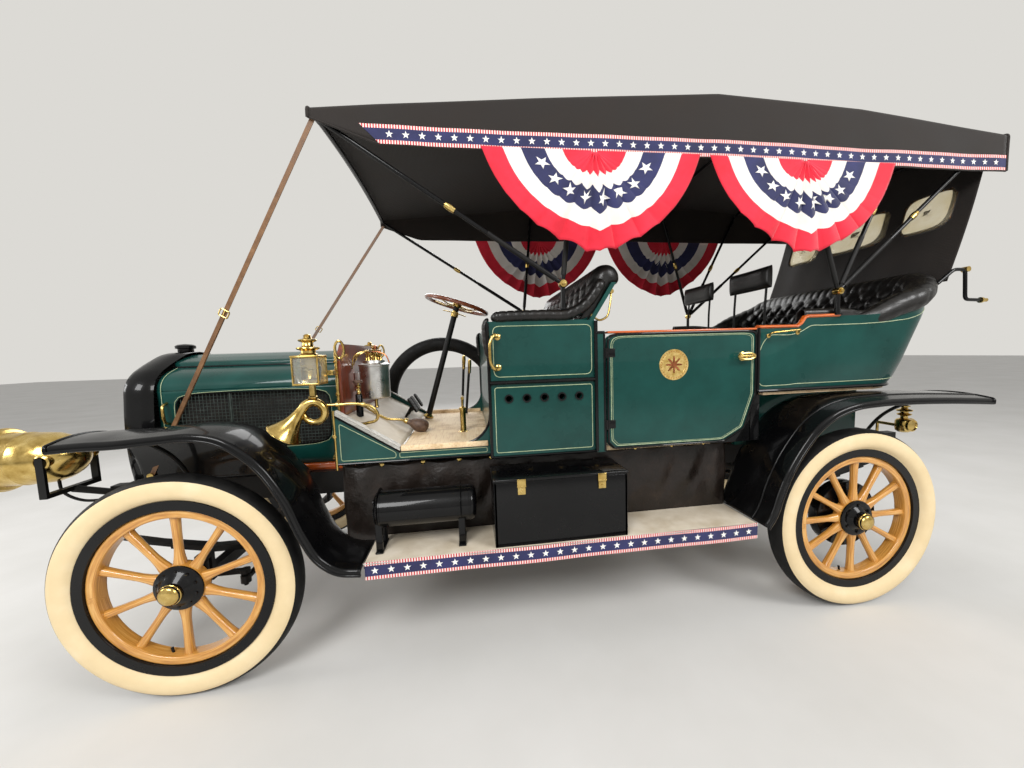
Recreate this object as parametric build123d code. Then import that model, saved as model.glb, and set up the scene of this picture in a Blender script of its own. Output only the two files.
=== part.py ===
from build123d import *
import os
from math import atan2, cos, pi, sin, tan

# Full-size open steam touring car of about 1909, in millimetres.
# +X is forward, +Y is the car's left, +Z is up.  The origin is on the ground, on the centreline,
# at the middle of the overall length.  A station is a distance behind the front axle, and sizes
# named "back" are distances behind the rear axle.

# Stance
wheelbase = 3099
track = 1422
front_reach = 790            # lamp glass ahead of the front axle
rear_reach = 863             # edge of the folding top behind the rear axle
wheel_diameter = 914
front_tyre_width = 102
rear_tyre_width = 127

front_axle_x = (wheelbase + rear_reach - front_reach) / 2
rear_axle_x = front_axle_x - wheelbase
hub_z = wheel_diameter / 2
wheel_y = track / 2

# Sizes used all over
touch = 0.3                  # seat gap between pieces that only rest on each other
sheet_gauge = 4              # fender and apron metal
panel = 22                   # body panels of wood and metal
door_gap = 7

# Wheels
rim_outer = 355
rim_inner = 322
felloe_inner = 288
rim_width = 76
felloe_width = 60
hub_radius = 46
spoke_root = 92
spoke_counts = {"front": 10, "rear": 12}
spoke_depth = 38
spoke_hub_width = 44
spoke_waist_width = 27
spoke_felloe_width = 31
spoke_waist_reach = 60       # waist beyond the root
hub_flange_radius = 90
hub_flange = 9
hub_cap_radius = 36
hub_cap_reach = 92           # cap end outside the wheel plane
hub_back = 34                # hub inside the back flange
drum_radius = 170
drum_width = 62
drum_wall = 8

# Front axle and steering
kingpin_y = 596
kingpin_radius = 13
pin_fit = 0.05
boss_radius = 25
boss_height = 74
yoke_thickness = 22
yoke_radius = 22
axle_width = 44
axle_drop = 70
axle_depth = 52
spindle_radius = 19
steer_arm_back = 170
steer_arm_drop = 25
steer_stud_radius = 9
tie_rod_radius = 13
tie_rod_drop = 61

# Frame and springs
rail_y = 372
rail_width = 50
rail_top = 795
rail_depth = 110
rail_ahead = 470             # front cross member ahead of the front axle
rail_back = 640
cross_member = 50
horn_reach = 120             # dumb iron ahead of the rails
horn_drop = 96
rack_bolt_y = 240
rack_bolt_radius = 6.5
bracket_stations = (900, 1620, 2340)
spring_width = 48
leaf = 9.5
leaf_shares = (0.45, 0.72, 1.0)
rear_spring_ahead = 620
rear_spring_behind = 590
spring_eye_drop = 40
rear_spring_pad = 52

# Bonnet, radiator and dash
bonnet_half = 330
bonnet_bottom = 828
bonnet_shoulder_z = 1200
bonnet_ridge_y = 185
bonnet_ridge_z = 1322
bonnet_top = 1392
bonnet_skin = 10
bonnet_ahead = 282           # bonnet front ahead of the front axle
mesh_margin = 75
mesh_height = 262
mesh_middle_z = 1052
radiator_depth = 136
radiator_half = 352
radiator_bottom = 690
radiator_rim = 34
dash_station = 556
dash_thickness = 24
dash_half = 440
dash_top = 1416
edge_post = 12               # brass post on the dash's edges
oiler_y = 200
oiler_radius = 68
bulb_station = 890
bulb_y = 150
bulb_radius = 38

# Body
body_bottom = 868
floor_z = 915
board = 22
sill_y = 575
sill_rise = 18
toe_top = 1071
toe_rear = 851
toe_angle = atan2(toe_top - floor_z, toe_rear - dash_station - dash_thickness)
seat_front = 1270
seat_top = 1489
seat_half = 636
seat_mould_z = 1215
seat_mould = 18
arm_height = 46
seat_board_z = 1290
cushion_height = 130
vent_station = 1355
vent_pitch = 82.5
vent_radius = 13
vent_z = 1140
pillar_front = 1764
pillar_rear = 1808
seat_back_top = 1752
seat_back_lean = 110
door_rear = 2586
door_bottom = 878
door_top = 1424
door_proud = 16              # doors and tub outside the seat box
door_thickness = 30
hinge_radius = 7
tonneau_drop = 35            # tonneau floor below the front floor
riser_station = 2612         # step up to the rear seat
boot_half = 430
tub_bottom = 1121
belt = 1436
tub_rim = 1478
rim_rise = 20                # of the rim on its way back
tub_step = 2828
tub_back_low = 372
tub_back_high = 553
tub_back_top = 1640
tub_flare = 690
tub_corner = 190
leather = 70                 # stuffing of the rear seat's back
door_half = seat_half + door_proud

# Running boards and fenders
fender_y = 820
fender_inner = 560
rear_fender_inner = 470
board_top = 509
board_gauge = 26
board_front = 718
board_rear = 2503
board_half = 790
apron_y = 528
apron_gauge = 5
apron_top = 858
front_fender_ahead = 309
front_fender_z = 1088
rear_fender_back = 671
rear_fender_z = 1086
rear_fender_front = 353      # bend ahead of the rear axle

# Tool box and gas tank on the left board
box_front = 1262
box_rear = 1862
box_top = 796
box_wall = 14
box_y = 775
box_back = 24                # box behind the apron's face
lid_gauge = 14
lid_overhang = 4
tank_front = 742
tank_rear = 1190
tank_y = 655
tank_z = 682
tank_radius = 78
tank_feet = (768, 1120)

# Lamps and horn
headlamp_y = 470
headlamp_z = 962
headlamp_length = 312
headlamp_radius = 132
trunnion_back = 236          # behind the lamp's front
trunnion_lamp_radius = 108
side_lamp_y = 555
side_lamp_z = 1235
side_lamp_station = 485
side_lamp_size = 110
tail_lamp_back = 500
tail_lamp_y = 545
tail_lamp_z = 900

# Steering column, right-hand drive
driver_y = -330
column_foot = (front_axle_x - 870, driver_y, floor_z - 60)
column_head = (front_axle_x - 1121, driver_y, 1680)
column_radius = 19
rim_radius = 205
rim_tube = 13

# Jump seats: (lowest y, highest y) of each
jump_seat_sides = ((90, 430), (-430, -90))
jump_seat_station = 2850
jump_seat_z = 1300

# Folding top: (station, height of the roof's edge, rise of its crown, lower edge)
canopy_half = 674
canopy_sections = ((596, 2322, 36, 2296), (783, 2346, 46, 2215), (1500, 2410, 60, 2203), (2350, 2478, 70, 2212),
                   (3100, 2460, 60, 2203), (wheelbase + rear_reach, 2375, 40, 2203))
top_gauge = 8
iron_radius = 10
bow_y = 648
front_bow_stations = (612, 1702)
rear_bow_stations = (2754, 3403, 3890)
front_pivot_station = 1621
front_pivot_y = 624
front_pivot_z = 1655
rear_pivot_ahead = 91        # ahead of the rear axle
rear_pivot_y = 671
rear_pivot_z = 1603
rest_iron_back = 630         # the folded top's rests, behind the rear axle
curtain_top_back = 819
fan_stations = (1762, 2795)
fan_top = 2213
fan_half = 495
fan_drop = 460
fan_gauge = 10
fan_hang = 1.5               # degrees that the fans hang out from the edge
strap_width = 24
strap_gauge = 3

parts = {}


def at(station):
    return front_axle_x - station


def behind(back):
    return rear_axle_x - back


def block(x_low, x_high, y_low, y_high, z_low, z_high):
    size = (x_high - x_low, y_high - y_low, z_high - z_low)
    return Pos(x_low, y_low, z_low) * Box(*size, align=(Align.MIN, Align.MIN, Align.MIN))


def on_side(side, x_low, x_high, y_in, y_out, z_low, z_high):
    # a block between two distances from the centreline, on the left (1) or the right (-1)
    y_low, y_high = sorted((side * y_in, side * y_out))
    return block(x_low, x_high, y_low, y_high, z_low, z_high)


def both_sides(shape):
    return [shape, mirror(shape, about=Plane.XZ)]


def side_plate(face, y_low, y_high):
    # a face drawn as (x, z), thick from y_low to y_high
    return extrude(Pos(0, y_high, 0) * (Plane.XZ * face), y_high - y_low)


def outline(points):
    return make_face(Polyline(*points, close=True))


def side_polygon(points, y_low, y_high):
    return side_plate(outline(points), y_low, y_high)


def cross_polygon(points, x_low, x_high):
    # an outline drawn as (y, z), thick from x_low to x_high
    return extrude(Pos(x_low, 0, 0) * (Plane.YZ * outline(points)), x_high - x_low)


def upright(x, y, z, radius, height):
    return Pos(x, y, z) * Cylinder(radius, height, align=(Align.CENTER, Align.CENTER, Align.MIN))


def rod(start, end, radius):
    way = Vector(*end) - Vector(*start)
    bar = Cylinder(radius, way.length, align=(Align.CENTER, Align.CENTER, Align.MIN))
    return Plane(origin=start, z_dir=way) * bar


def bent_rod(points, radius, sides=8):
    # an iron bent at sharp corners, of a many-sided section
    path = Polyline(*points)
    section = Plane(origin=points[0], z_dir=path % 0) * RegularPolygon(radius, sides)
    return sweep(section, path, transition=Transition.RIGHT)


def strip(points, radii, gauge):
    # sheet bent along a side outline: a closed (x, z) face of one thickness, on the left of the way
    path = FilletPolyline(*points, radius=radii)
    return make_face(offset(path, gauge, side=Side.LEFT, closed=True))


def turned(profile):
    # a closed (radius, axial) outline turned about the Y axis, as a wheel lies
    return revolve(outline(profile), Axis.Y)


def ring(inner, outer, width):
    return turned([(inner, -width / 2), (outer, -width / 2), (outer, width / 2), (inner, width / 2)])


def save(name, shapes):
    shapes = shapes if isinstance(shapes, list) else [shapes]
    parts[name] = Compound(children=[solid for shape in shapes for solid in shape.solids()])


def tyre(width):
    # rows: radius, share of the half width
    radius = wheel_diameter / 2
    rows = [(rim_outer, 0.56), (rim_outer + 20, 0.88), (rim_outer + 48, 1.0), (radius - 24, 0.9),
            (radius - 6, 0.6), (radius, 0.3)]
    left = [(r, share * width / 2) for r, share in rows]
    return turned([(r, -y) for r, y in left] + left[::-1])


def spoke():
    # rows: distance from the hub's centre, width, depth of an eight-sided section
    rows = [(spoke_root - 8, spoke_hub_width, spoke_depth),
            (spoke_root + spoke_waist_reach, spoke_waist_width, spoke_depth - 6),
            (felloe_inner + 6, spoke_felloe_width, spoke_depth)]
    sections = []
    for reach, width, depth in rows:
        w, d, c = width / 2, depth / 2, width * 0.29
        quarter = [(w, d - c), (w - c, d)]
        half = quarter + [(-x, y) for x, y in quarter[::-1]]
        corners = half + [(-x, -y) for x, y in half]
        sections.append(Pos(0, 0, reach) * outline(corners))
    return loft(sections, ruled=True)


def wood_wheel(spokes):
    wheel = ring(felloe_inner, rim_inner, felloe_width) + ring(hub_radius, spoke_root, spoke_depth)
    for k in range(spokes):
        wheel += Rot(0, 360 / spokes * k, 0) * spoke()
    return wheel


def wheel_iron(drum):
    face = spoke_depth / 2
    bore = spindle_radius + pin_fit
    back = -face - hub_flange
    hub = [(bore, -face - hub_back), (hub_radius, -face - hub_back), (hub_radius, back),
           (hub_flange_radius, back), (hub_flange_radius, -face), (hub_radius, -face),
           (hub_radius, face), (hub_flange_radius, face), (hub_flange_radius - 6, face + hub_flange),
           (hub_radius, face + 24), (hub_cap_radius, face + 30), (hub_cap_radius, hub_cap_reach - 6),
           (hub_cap_radius - 6, hub_cap_reach), (0, hub_cap_reach), (0, face + 20), (bore, face + 20)]
    hub = turned(hub)
    if drum:
        wall = drum_radius - drum_wall
        hub += turned([(hub_radius - 1, back + 1), (drum_radius, back + 1), (drum_radius, back - drum_width),
                       (wall, back - drum_width), (wall, back - drum_wall), (hub_radius - 1, back - drum_wall)])
    return [ring(rim_inner, rim_outer, rim_width), hub]


def wheels():
    # rows: end, axle x, tyre width
    rows = [("front", front_axle_x, front_tyre_width), ("rear", rear_axle_x, rear_tyre_width)]
    for end, x, width in rows:
        for side, sign in (("left", 1), ("right", -1)):
            place = Pos(x, sign * wheel_y, hub_z)
            iron = wheel_iron(end == "rear")
            if sign < 0:
                iron = [mirror(piece, about=Plane.XZ) for piece in iron]
            save(f"tyre_{end}_{side}", place * tyre(width))
            save(f"wood_wheel_{end}_{side}", place * wood_wheel(spoke_counts[end]))
            save(f"wheel_iron_{end}_{side}", [place * piece for piece in iron])


def front_axle():
    x, half = front_axle_x, axle_width / 2
    reach = kingpin_y - boss_radius - 6
    yoke_low = hub_z - boss_height / 2 - 1 - yoke_thickness
    yoke_high = hub_z + boss_height / 2 + 1
    beam = block(x - half, x + half, -reach, reach, hub_z - axle_drop, hub_z - axle_drop + axle_depth)
    for side in (1, -1):
        beam += on_side(side, x - half, x + half, reach - 24, reach, yoke_low, yoke_high + yoke_thickness)
        for z in (yoke_low, yoke_high):
            beam += on_side(side, x - half, x + half, reach - 1, kingpin_y + 2, z, z + yoke_thickness)
            beam += upright(x, side * kingpin_y, z, yoke_radius, yoke_thickness)
        beam -= upright(x, side * kingpin_y, yoke_low - 10, kingpin_radius + pin_fit, boss_height + 80)
    save("front_axle", beam)


def knuckles():
    x = front_axle_x
    for side, sign in (("left", 1), ("right", -1)):
        y = sign * kingpin_y
        pin_low = hub_z - boss_height / 2 - yoke_thickness - 8
        body = upright(x, y, hub_z - boss_height / 2, boss_radius, boss_height)
        body += upright(x, y, pin_low, kingpin_radius, 2 * (hub_z - pin_low))
        body += rod((x, y, hub_z), (x, sign * (wheel_y + spoke_depth / 2 + 18), hub_z), spindle_radius)
        body += rod((x, y + sign * 10, hub_z), (x, sign * (wheel_y - spoke_depth / 2 - hub_back - 1), hub_z), 30)
        arm_z = hub_z - steer_arm_drop
        body += block(x - steer_arm_back, x - 10, y - 11, y + 11, arm_z - 9, arm_z + 9)
        body += upright(x - steer_arm_back, y, arm_z - 9, 20, 18)
        body += upright(x - steer_arm_back, y, hub_z - tie_rod_drop - 28, steer_stud_radius, 72)
        save(f"knuckle_{side}", body)


def tie_rod():
    x, z = front_axle_x - steer_arm_back, hub_z - tie_rod_drop
    bar = rod((x, -kingpin_y, z), (x, kingpin_y, z), tie_rod_radius)
    for side, gap in ((1, pin_fit), (-1, 1)):
        height = 2 * tie_rod_radius + 6
        bar += upright(x, side * kingpin_y, z - height / 2, 20, height)
        bar -= upright(x, side * kingpin_y, z - height, steer_stud_radius + gap, 2 * height)
    save("tie_rod", bar)


def frame():
    front, rear = at(-rail_ahead), behind(rail_back)
    y_in, y_out = rail_y - rail_width / 2, rail_y + rail_width / 2
    low = rail_top - rail_depth
    rails = block(rear, front, y_in, y_out, low, rail_top) + block(rear, front, -y_out, -y_in, low, rail_top)
    crosses = (front - cross_member, at(dash_station) - 60, at(seat_front) - 15, at(pillar_front) - 45,
               rear_axle_x + 380, rear)
    for x in crosses:
        rails += block(x, x + cross_member, -y_in - 1, y_in + 1, low + 15, rail_top - 15)
    bolt_z = rail_top - rail_depth / 2
    lamp_x = at(-front_reach) - trunnion_back
    for side in (1, -1):
        horn = strip([(front - 20, low + 18), (front + 70, low - 10), (front + horn_reach, low - 90)], 60, 36)
        rails += side_plate(horn, side * rail_y - 18, side * rail_y + 18)
        rails += Pos(front + horn_reach, side * rail_y, low - horn_drop) * Rot(90, 0, 0) * Cylinder(24, 44)
        rails -= rod((rear - 10, side * rack_bolt_y, bolt_z), (rear + cross_member + 10, side * rack_bolt_y, bolt_z), rack_bolt_radius)
        for station in bracket_stations:
            x, z = at(station), board_top - board_gauge
            rails += on_side(side, x - 20, x + 20, rail_y - 20, board_half - 60, z - 30, z)
            rails += on_side(side, x - 20, x + 20, rail_y - 20, rail_y + 20, z - 30, low)
        inner = trunnion_lamp_radius + touch
        base = headlamp_z - 150
        for y in (headlamp_y - inner - 12, headlamp_y + inner):
            rails += on_side(side, lamp_x - 14, lamp_x + 14, y, y + 12, base, headlamp_z + 20)
        rails += on_side(side, lamp_x - 14, lamp_x + 14, headlamp_y - inner - 12, headlamp_y + inner + 12, base, base + 18)
        rails += rod((lamp_x, side * headlamp_y, base + 6), (front - 40, side * (rail_y + 5), rail_top - 40), 15)
    save("frame", rails)


def springs():
    low = rail_top - rail_depth
    ahead = rail_ahead + horn_reach - 28
    # rows: axle x, reach ahead and behind, eye height ahead and behind, seat height
    rows = [(front_axle_x, ahead, 470, low - horn_drop - 26, low - spring_eye_drop, hub_z - axle_drop + axle_depth),
            (rear_axle_x, rear_spring_ahead, rear_spring_behind, low - spring_eye_drop, low - spring_eye_drop,
             hub_z + rear_spring_pad)]
    solids = []
    for x, ahead, back, z_ahead, z_back, seat in rows:
        pack = None
        for level, share in enumerate(leaf_shares):
            z = seat + touch + level * (leaf - 0.5)
            rise_ahead, rise_back = (z_ahead - z) * share ** 1.6, (z_back - z) * share ** 1.6
            way = [(x - back * share, z + rise_back), (x - back * share * 0.55, z + rise_back * 0.4), (x - 70, z),
                   (x + 70, z), (x + ahead * share * 0.55, z + rise_ahead * 0.4), (x + ahead * share, z + rise_ahead)]
            bent = side_polygon(way + [(px, pz + leaf) for px, pz in way[::-1]], rail_y - spring_width / 2,
                                rail_y + spring_width / 2)
            pack = bent if pack is None else pack + bent
        # shackles up to the rail
        pack += block(x - back, x - back + 16, rail_y - 10, rail_y + 10, z_back + 2, low)
        if x == rear_axle_x:
            pack += block(x + ahead - 16, x + ahead, rail_y - 10, rail_y + 10, z_ahead + 2, low)
        solids += both_sides(pack)
    save("springs", solids)


def rear_axle():
    x = rear_axle_x
    reach = wheel_y - spoke_depth / 2 - hub_flange - drum_width - 6
    axle = rod((x, -reach, hub_z), (x, reach, hub_z), 42)
    half_case = [(0, 96), (96, 78), (150, 22)]
    axle += Pos(x, 0, hub_z) * turned([(r, -y) for r, y in half_case] + half_case[::-1])
    for side in (1, -1):
        axle += rod((x, side * reach * 0.9, hub_z), (x, side * (wheel_y + spoke_depth / 2 + 18), hub_z), spindle_radius)
        axle += on_side(side, x - 50, x + 50, rail_y - 26, rail_y + 26, hub_z + 20, hub_z + rear_spring_pad)
    axle += rod((x + 120, 0, hub_z + 6), (at(pillar_front - 22), 0, 610), 36)
    save("rear_axle", axle)


def bonnet_section(inset):
    half = bonnet_half - inset
    right = [(half, bonnet_bottom), (half, bonnet_shoulder_z), (half - 40, bonnet_shoulder_z + 78 - inset / 2),
             (bonnet_ridge_y + 20, bonnet_ridge_z - inset), (bonnet_ridge_y - 14, bonnet_ridge_z + 34 - inset)]
    return right + [(0, bonnet_top - inset)] + [(-y, z) for y, z in right[::-1]]


def bonnet():
    rear, front = at(dash_station) + touch, at(-bonnet_ahead)
    skin = cross_polygon(bonnet_section(0), rear, front)
    hollow = bonnet_section(bonnet_skin)
    hollow[0] = (hollow[0][0], bonnet_bottom - 10)
    hollow[-1] = (hollow[-1][0], bonnet_bottom - 10)
    skin -= cross_polygon(hollow, rear - 5, front + 5)
    middle = Pos((rear + front) / 2, 0, mesh_middle_z) * Rot(90, 0, 0)
    skin -= middle * extrude(RectangleRounded(front - rear - 2 * mesh_margin, mesh_height, 40), 800, both=True)
    save("bonnet", skin)
    mesh = extrude(RectangleRounded(front - rear - 2 * mesh_margin + 30, mesh_height + 28, 50), 4)
    save("bonnet_mesh", both_sides(Pos(0, bonnet_half - bonnet_skin - touch, 0) * middle * mesh))


def radiator_section(inset, bottom):
    half, top, narrow = radiator_half - inset, bonnet_top + 14 - inset, rail_y - rail_width / 2 - 2 - inset
    right = [(narrow, bottom), (narrow, rail_top + 1 + inset), (half, rail_top + 1 + inset), (half, 1210),
             (half - 50, 1300 - inset / 3), (210 - inset / 3, 1352 - inset), (90, top)]
    return right + [(-y, z) for y, z in right[::-1]]


def radiator():
    rear = at(-bonnet_ahead) + touch
    front = rear + radiator_depth
    shell = cross_polygon(radiator_section(0, radiator_bottom), rear, front)
    hole = radiator_section(radiator_rim, radiator_bottom + radiator_rim)
    shell -= cross_polygon(hole, rear - 1, front + 1)
    shell += upright((rear + front) / 2, 0, bonnet_top + 8, 34, 44)
    save("radiator_shell", shell)
    save("radiator_core", cross_polygon(hole, rear + 16, front - 12))


def toe_height(station):
    return floor_z + (toe_rear - station) * tan(toe_angle)


def dash():
    rear = at(dash_station + dash_thickness)
    corner, foot = 80, rail_y + rail_width / 2
    points = [(foot, rail_top + touch), (foot, bonnet_bottom), (dash_half, bonnet_bottom), (dash_half, dash_top - corner),
              (dash_half - corner, dash_top)]
    save("dash", cross_polygon(points + [(-y, z) for y, z in points[::-1]], rear, at(dash_station)))
    start = rear - board * sin(toe_angle) - touch
    planks = strip([(start, toe_height(front_axle_x - start)), (at(toe_rear), floor_z), (at(seat_front) + touch, floor_z)],
                   20, board)
    planks = side_plate(planks, -sill_y + panel + touch, sill_y - panel - touch)
    save("front_floor", planks - rod(column_foot, column_head, column_radius + touch))
    high, curve = floor_z + sill_rise, 130
    rise = [(at(seat_front) + 0.5 + curve * (1 - cos(pi / 2 * k / 4)), high + curve * (1 - sin(pi / 2 * k / 4)))
            for k in range(5)]
    sill = [(rear - 0.5, body_bottom), (rear - 0.5, toe_top + 40), (at(toe_rear) - 6, high)] + rise[::-1]
    sill += [(at(seat_front) + 0.5, body_bottom)]
    save("front_sills", both_sides(side_polygon(sill, sill_y - panel, sill_y)))


def body_sills():
    # wooden sills on the rails, stepped to carry the front floor, the seat box and the rear floor
    under_front = floor_z - board - touch
    under_rear = floor_z - tonneau_drop - board - touch
    seat_low = body_bottom - touch
    front, seat, pillar, riser = at(toe_rear), at(seat_front) + 0.5, at(pillar_front), at(riser_station - 40)
    steps = [(riser, rail_top), (front, rail_top), (front, under_front), (seat, under_front), (seat, seat_low),
             (pillar, seat_low), (pillar, under_rear), (riser, under_rear)]
    save("body_sills", both_sides(side_polygon(steps, rail_y - 20, rail_y + 20)))


def front_seat():
    front, rear = at(seat_front), at(pillar_front)
    inner = seat_half - panel
    tub = block(rear, front, -seat_half, seat_half, body_bottom, seat_top)
    tub -= block(rear + panel, front - panel, -inner, inner, body_bottom - 5, seat_top + 5)
    tub += block(rear + panel, front - panel, -inner, inner, seat_board_z - 20, seat_board_z)
    for side in (1, -1):
        tub += on_side(side, rear, front, seat_half - 1, seat_half + 5, seat_mould_z - seat_mould / 2,
                       seat_mould_z + seat_mould / 2)
        for k in range(5):
            x = at(vent_station + k * vent_pitch)
            tub -= rod((x, side * (seat_half + 10), vent_z), (x, side * (inner - 10), vent_z), vent_radius)
    shell_top = 1660
    tub += side_polygon([(rear + panel, seat_top), (rear, seat_top), (rear - seat_back_lean, shell_top),
                         (rear - seat_back_lean + panel, shell_top)], -seat_half + 4, seat_half - 4)
    save("front_seat_box", tub)
    z = seat_board_z + touch
    cushion = block(rear + panel + touch, front - panel - touch, -inner + touch, inner - touch, z, z + cushion_height)
    front_cushion = fillet(cushion.edges().group_by(Axis.Z)[-1], 30)
    z = tub_bottom + touch
    cushion = block(behind(tub_back_low - 110), at(2930), -550, 550, z, z + 220)
    save("seat_cushions", [front_cushion, fillet(cushion.edges().group_by(Axis.Z)[-1], 40)])
    lean = seat_back_lean - panel + touch
    back = [(rear + panel + touch, seat_top + touch), (rear - lean + 0.5, shell_top + touch), (rear - 130, shell_top + touch),
            (rear - 140, 1700), (rear - 108, 1740), (rear - 70, seat_back_top), (rear - 20, 1728), (rear + 70, seat_top + touch)]
    arm = block(rear + 80, front - 10, seat_half - 66, seat_half + 12, seat_top + touch, seat_top + arm_height)
    arms = both_sides(fillet(arm.edges().filter_by(Axis.X), 14))
    save("front_seat_back", [side_polygon(back, -seat_half + 10, seat_half - 10)] + arms)


def power_plant():
    # each mass hangs between the rails on its bearers
    middle = (at(seat_front) + at(pillar_front - panel)) / 2
    bearer = rail_y - rail_width / 2 - touch
    low = rail_top - 55
    generator = upright(middle, 0, low, 205, 480) + block(middle - 40, middle + 40, -bearer, bearer, low, low + 26)
    save("steam_generator", generator)
    engine = block(at(420), at(-60), -190, 190, 640, 1120)
    for x in (at(400), at(0)):
        engine += block(x, x + 40, -bearer, bearer, rail_top - 80, rail_top - 40)
    save("engine", engine)


def tub_face(z, grow, inset):
    # plan of the rear body at one height: sides that flare backwards, rounded rear corners
    half_front = door_half - inset
    half_rear = door_half - 12 + (tub_flare - door_half + 12) * grow - inset
    front = at(door_rear + door_gap)
    middle = rear_axle_x - 60
    rear = behind(tub_back_low + (tub_back_high - tub_back_low) * grow) + inset
    corner = tub_corner - inset
    left = [(front, half_front), (middle, half_rear), (rear + corner, half_rear),
            (rear + corner * 0.29, half_rear - corner * 0.29), (rear, half_rear - corner)]
    return Pos(0, 0, z) * outline(left + [(x, -y) for x, y in left[::-1]])


def rim_height(x):
    front, rear = at(tub_step + 22), behind(tub_back_high - 150)
    return tub_rim + rim_rise * (front - x) / (front - rear)


def tub_loft(levels, inset):
    return loft([tub_face(z, grow, inset) for z, grow in levels], ruled=True)


def tonneau():
    levels = [(tub_bottom, 0.0), (tub_rim, 0.86), (tub_back_top, 1.0)]
    front, step = at(door_rear + door_gap), at(tub_step)
    shell = tub_loft(levels, 0) - tub_loft(levels, panel)
    shell -= block(front - 2, front + 5, -door_half + panel, door_half - panel, tub_bottom - 5, tub_back_top + 5)
    above = [(front + 10, belt), (step + 22, belt), (step - 22, tub_rim), (behind(tub_back_high - 150), tub_rim + rim_rise),
             (behind(tub_back_high - 60), tub_back_top + 20), (front + 10, tub_back_top + 20)]
    shell -= side_polygon(above, -tub_flare - 50, tub_flare + 50)
    save("tonneau_shell", shell)
    low, high = floor_z - tonneau_drop, tub_bottom - touch
    riser = at(riser_station)
    way = [(at(pillar_front) - touch, low), (riser, low), (riser, high), (riser - 200, high)]
    under_seat = extrude(tub_face(high - board, 0, panel / 2), board) & block(rear_axle_x - 600, riser - board, -900, 900, 0, 2000)
    save("tonneau_floor", side_plate(strip(way, [8, 8], board), -590, 590) + under_seat)
    # the boot under the rear seat, open at the top and front, stands on the rails
    rear, under = behind(tub_back_low - 60), high - board - touch
    boot = block(rear, riser - board - 2, -boot_half, boot_half, rail_top + touch, under)
    inner = boot_half - panel
    boot -= block(rear + panel, riser, -inner, inner, rail_top - 5, under + 5)
    save("boot", boot)
    pillar = block(at(pillar_rear), at(pillar_front) - touch, door_half - 40, door_half, body_bottom, belt - 10)
    save("pillars", both_sides(pillar))
    levels = [(tub_bottom + 222, 0.25), (tub_rim, 0.86), (tub_back_top + 75, 1.04)]
    wrap = tub_loft(levels, panel + 2 * touch) - tub_loft(levels, panel + 2 * touch + leather)
    end = at(tub_step + 22)
    above = [(end + 500, tub_bottom), (end, tub_bottom), (end, tub_rim + 34), (behind(tub_back_high - 200), tub_rim + 50),
             (behind(tub_back_high - 30), tub_back_top + 120), (end + 500, tub_back_top + 120)]
    wrap -= side_polygon(above, -tub_flare - 50, tub_flare + 50)
    save("rear_seat_back", wrap)


def jump_seats():
    x, seats = at(jump_seat_station), []
    floor_top = floor_z - tonneau_drop
    for y_low, y_high in jump_seat_sides:
        middle = (y_low + y_high) / 2
        seat = block(x + 30, x + 340, y_low, y_high, jump_seat_z, jump_seat_z + 55)
        seat += upright(x + 295, middle, floor_top + touch, 18, jump_seat_z - floor_top)
        seat += block(x - 25, x + 20, y_low, y_high, 1662, 1785)
        for y in (y_low + 40, y_high - 40):
            seat += rod((x + 40, y, jump_seat_z + 20), (x, y, 1680), 7)
        seats.append(seat)
    save("jump_seats", seats)


def doors():
    front, rear = at(pillar_rear + door_gap), at(door_rear)
    points = [(front, door_bottom + 30), (front - 30, door_bottom), (rear + 170, door_bottom), (rear + 60, door_bottom + 60),
              (rear, door_bottom + 230), (rear, door_top), (front, door_top)]
    leaf_panel = side_polygon(points, door_half - door_thickness, door_half)
    for z in (door_bottom + 120, door_top - 90):
        leaf_panel += upright(at(pillar_rear) - door_gap / 2, door_half + hinge_radius, z - 23, hinge_radius, 46)
        leaf_panel += block(front - 40, front + 2, door_half - 1, door_half + 5, z - 20, z + 20)
    handle = Pos(rear + 78, door_half, 1297) * Rot(90, 0, 0)
    leaf_panel += handle * Pos(0, 0, -17) * Cylinder(9, 36)
    leaf_panel += handle * Pos(0, 0, -37) * extrude(SlotOverall(96, 36), 7)
    save("door_left", leaf_panel)
    save("door_right", mirror(leaf_panel, about=Plane.XZ))


def fenders():
    front = at(-front_fender_ahead)
    path = [(front, front_fender_z), (at(150), front_fender_z + 8), (at(500), 860), (at(560), 610),
            (at(board_front), board_top + sheet_gauge)]
    wing = side_plate(strip(path, [160, 130, 70], sheet_gauge), fender_inner, fender_y)
    upper_path = [(front, front_fender_z), (at(150), front_fender_z + 8), (at(470), 900)]
    lower_path = [(at(-330), rail_top + 2), (at(100), rail_top + 2.5), (at(400), rail_top + 2)]
    upper = Pos(0, fender_inner, 0) * (Plane.XZ * strip(upper_path, [160], sheet_gauge))
    lower = Pos(0, rail_y + rail_width / 2 + touch, 0) * (Plane.XZ * strip(lower_path, [160], sheet_gauge))
    save("front_fenders", both_sides(wing + loft([upper, lower], ruled=True)))
    path = [(at(board_rear), board_top + sheet_gauge), (rear_axle_x + rear_fender_front, rear_fender_z),
            (behind(rear_fender_back), rear_fender_z - 20)]
    save("rear_fenders", both_sides(side_plate(strip(path, [300], sheet_gauge), rear_fender_inner, fender_y)))


def boards():
    front, rear = at(board_front), at(board_rear)
    low = board_top - board_gauge
    save("running_boards", both_sides(block(rear, front, apron_y + apron_gauge + touch, board_half, low, board_top)))
    save("splash_aprons", both_sides(block(rear, front + 140, apron_y, apron_y + apron_gauge, low, apron_top)))


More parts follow.
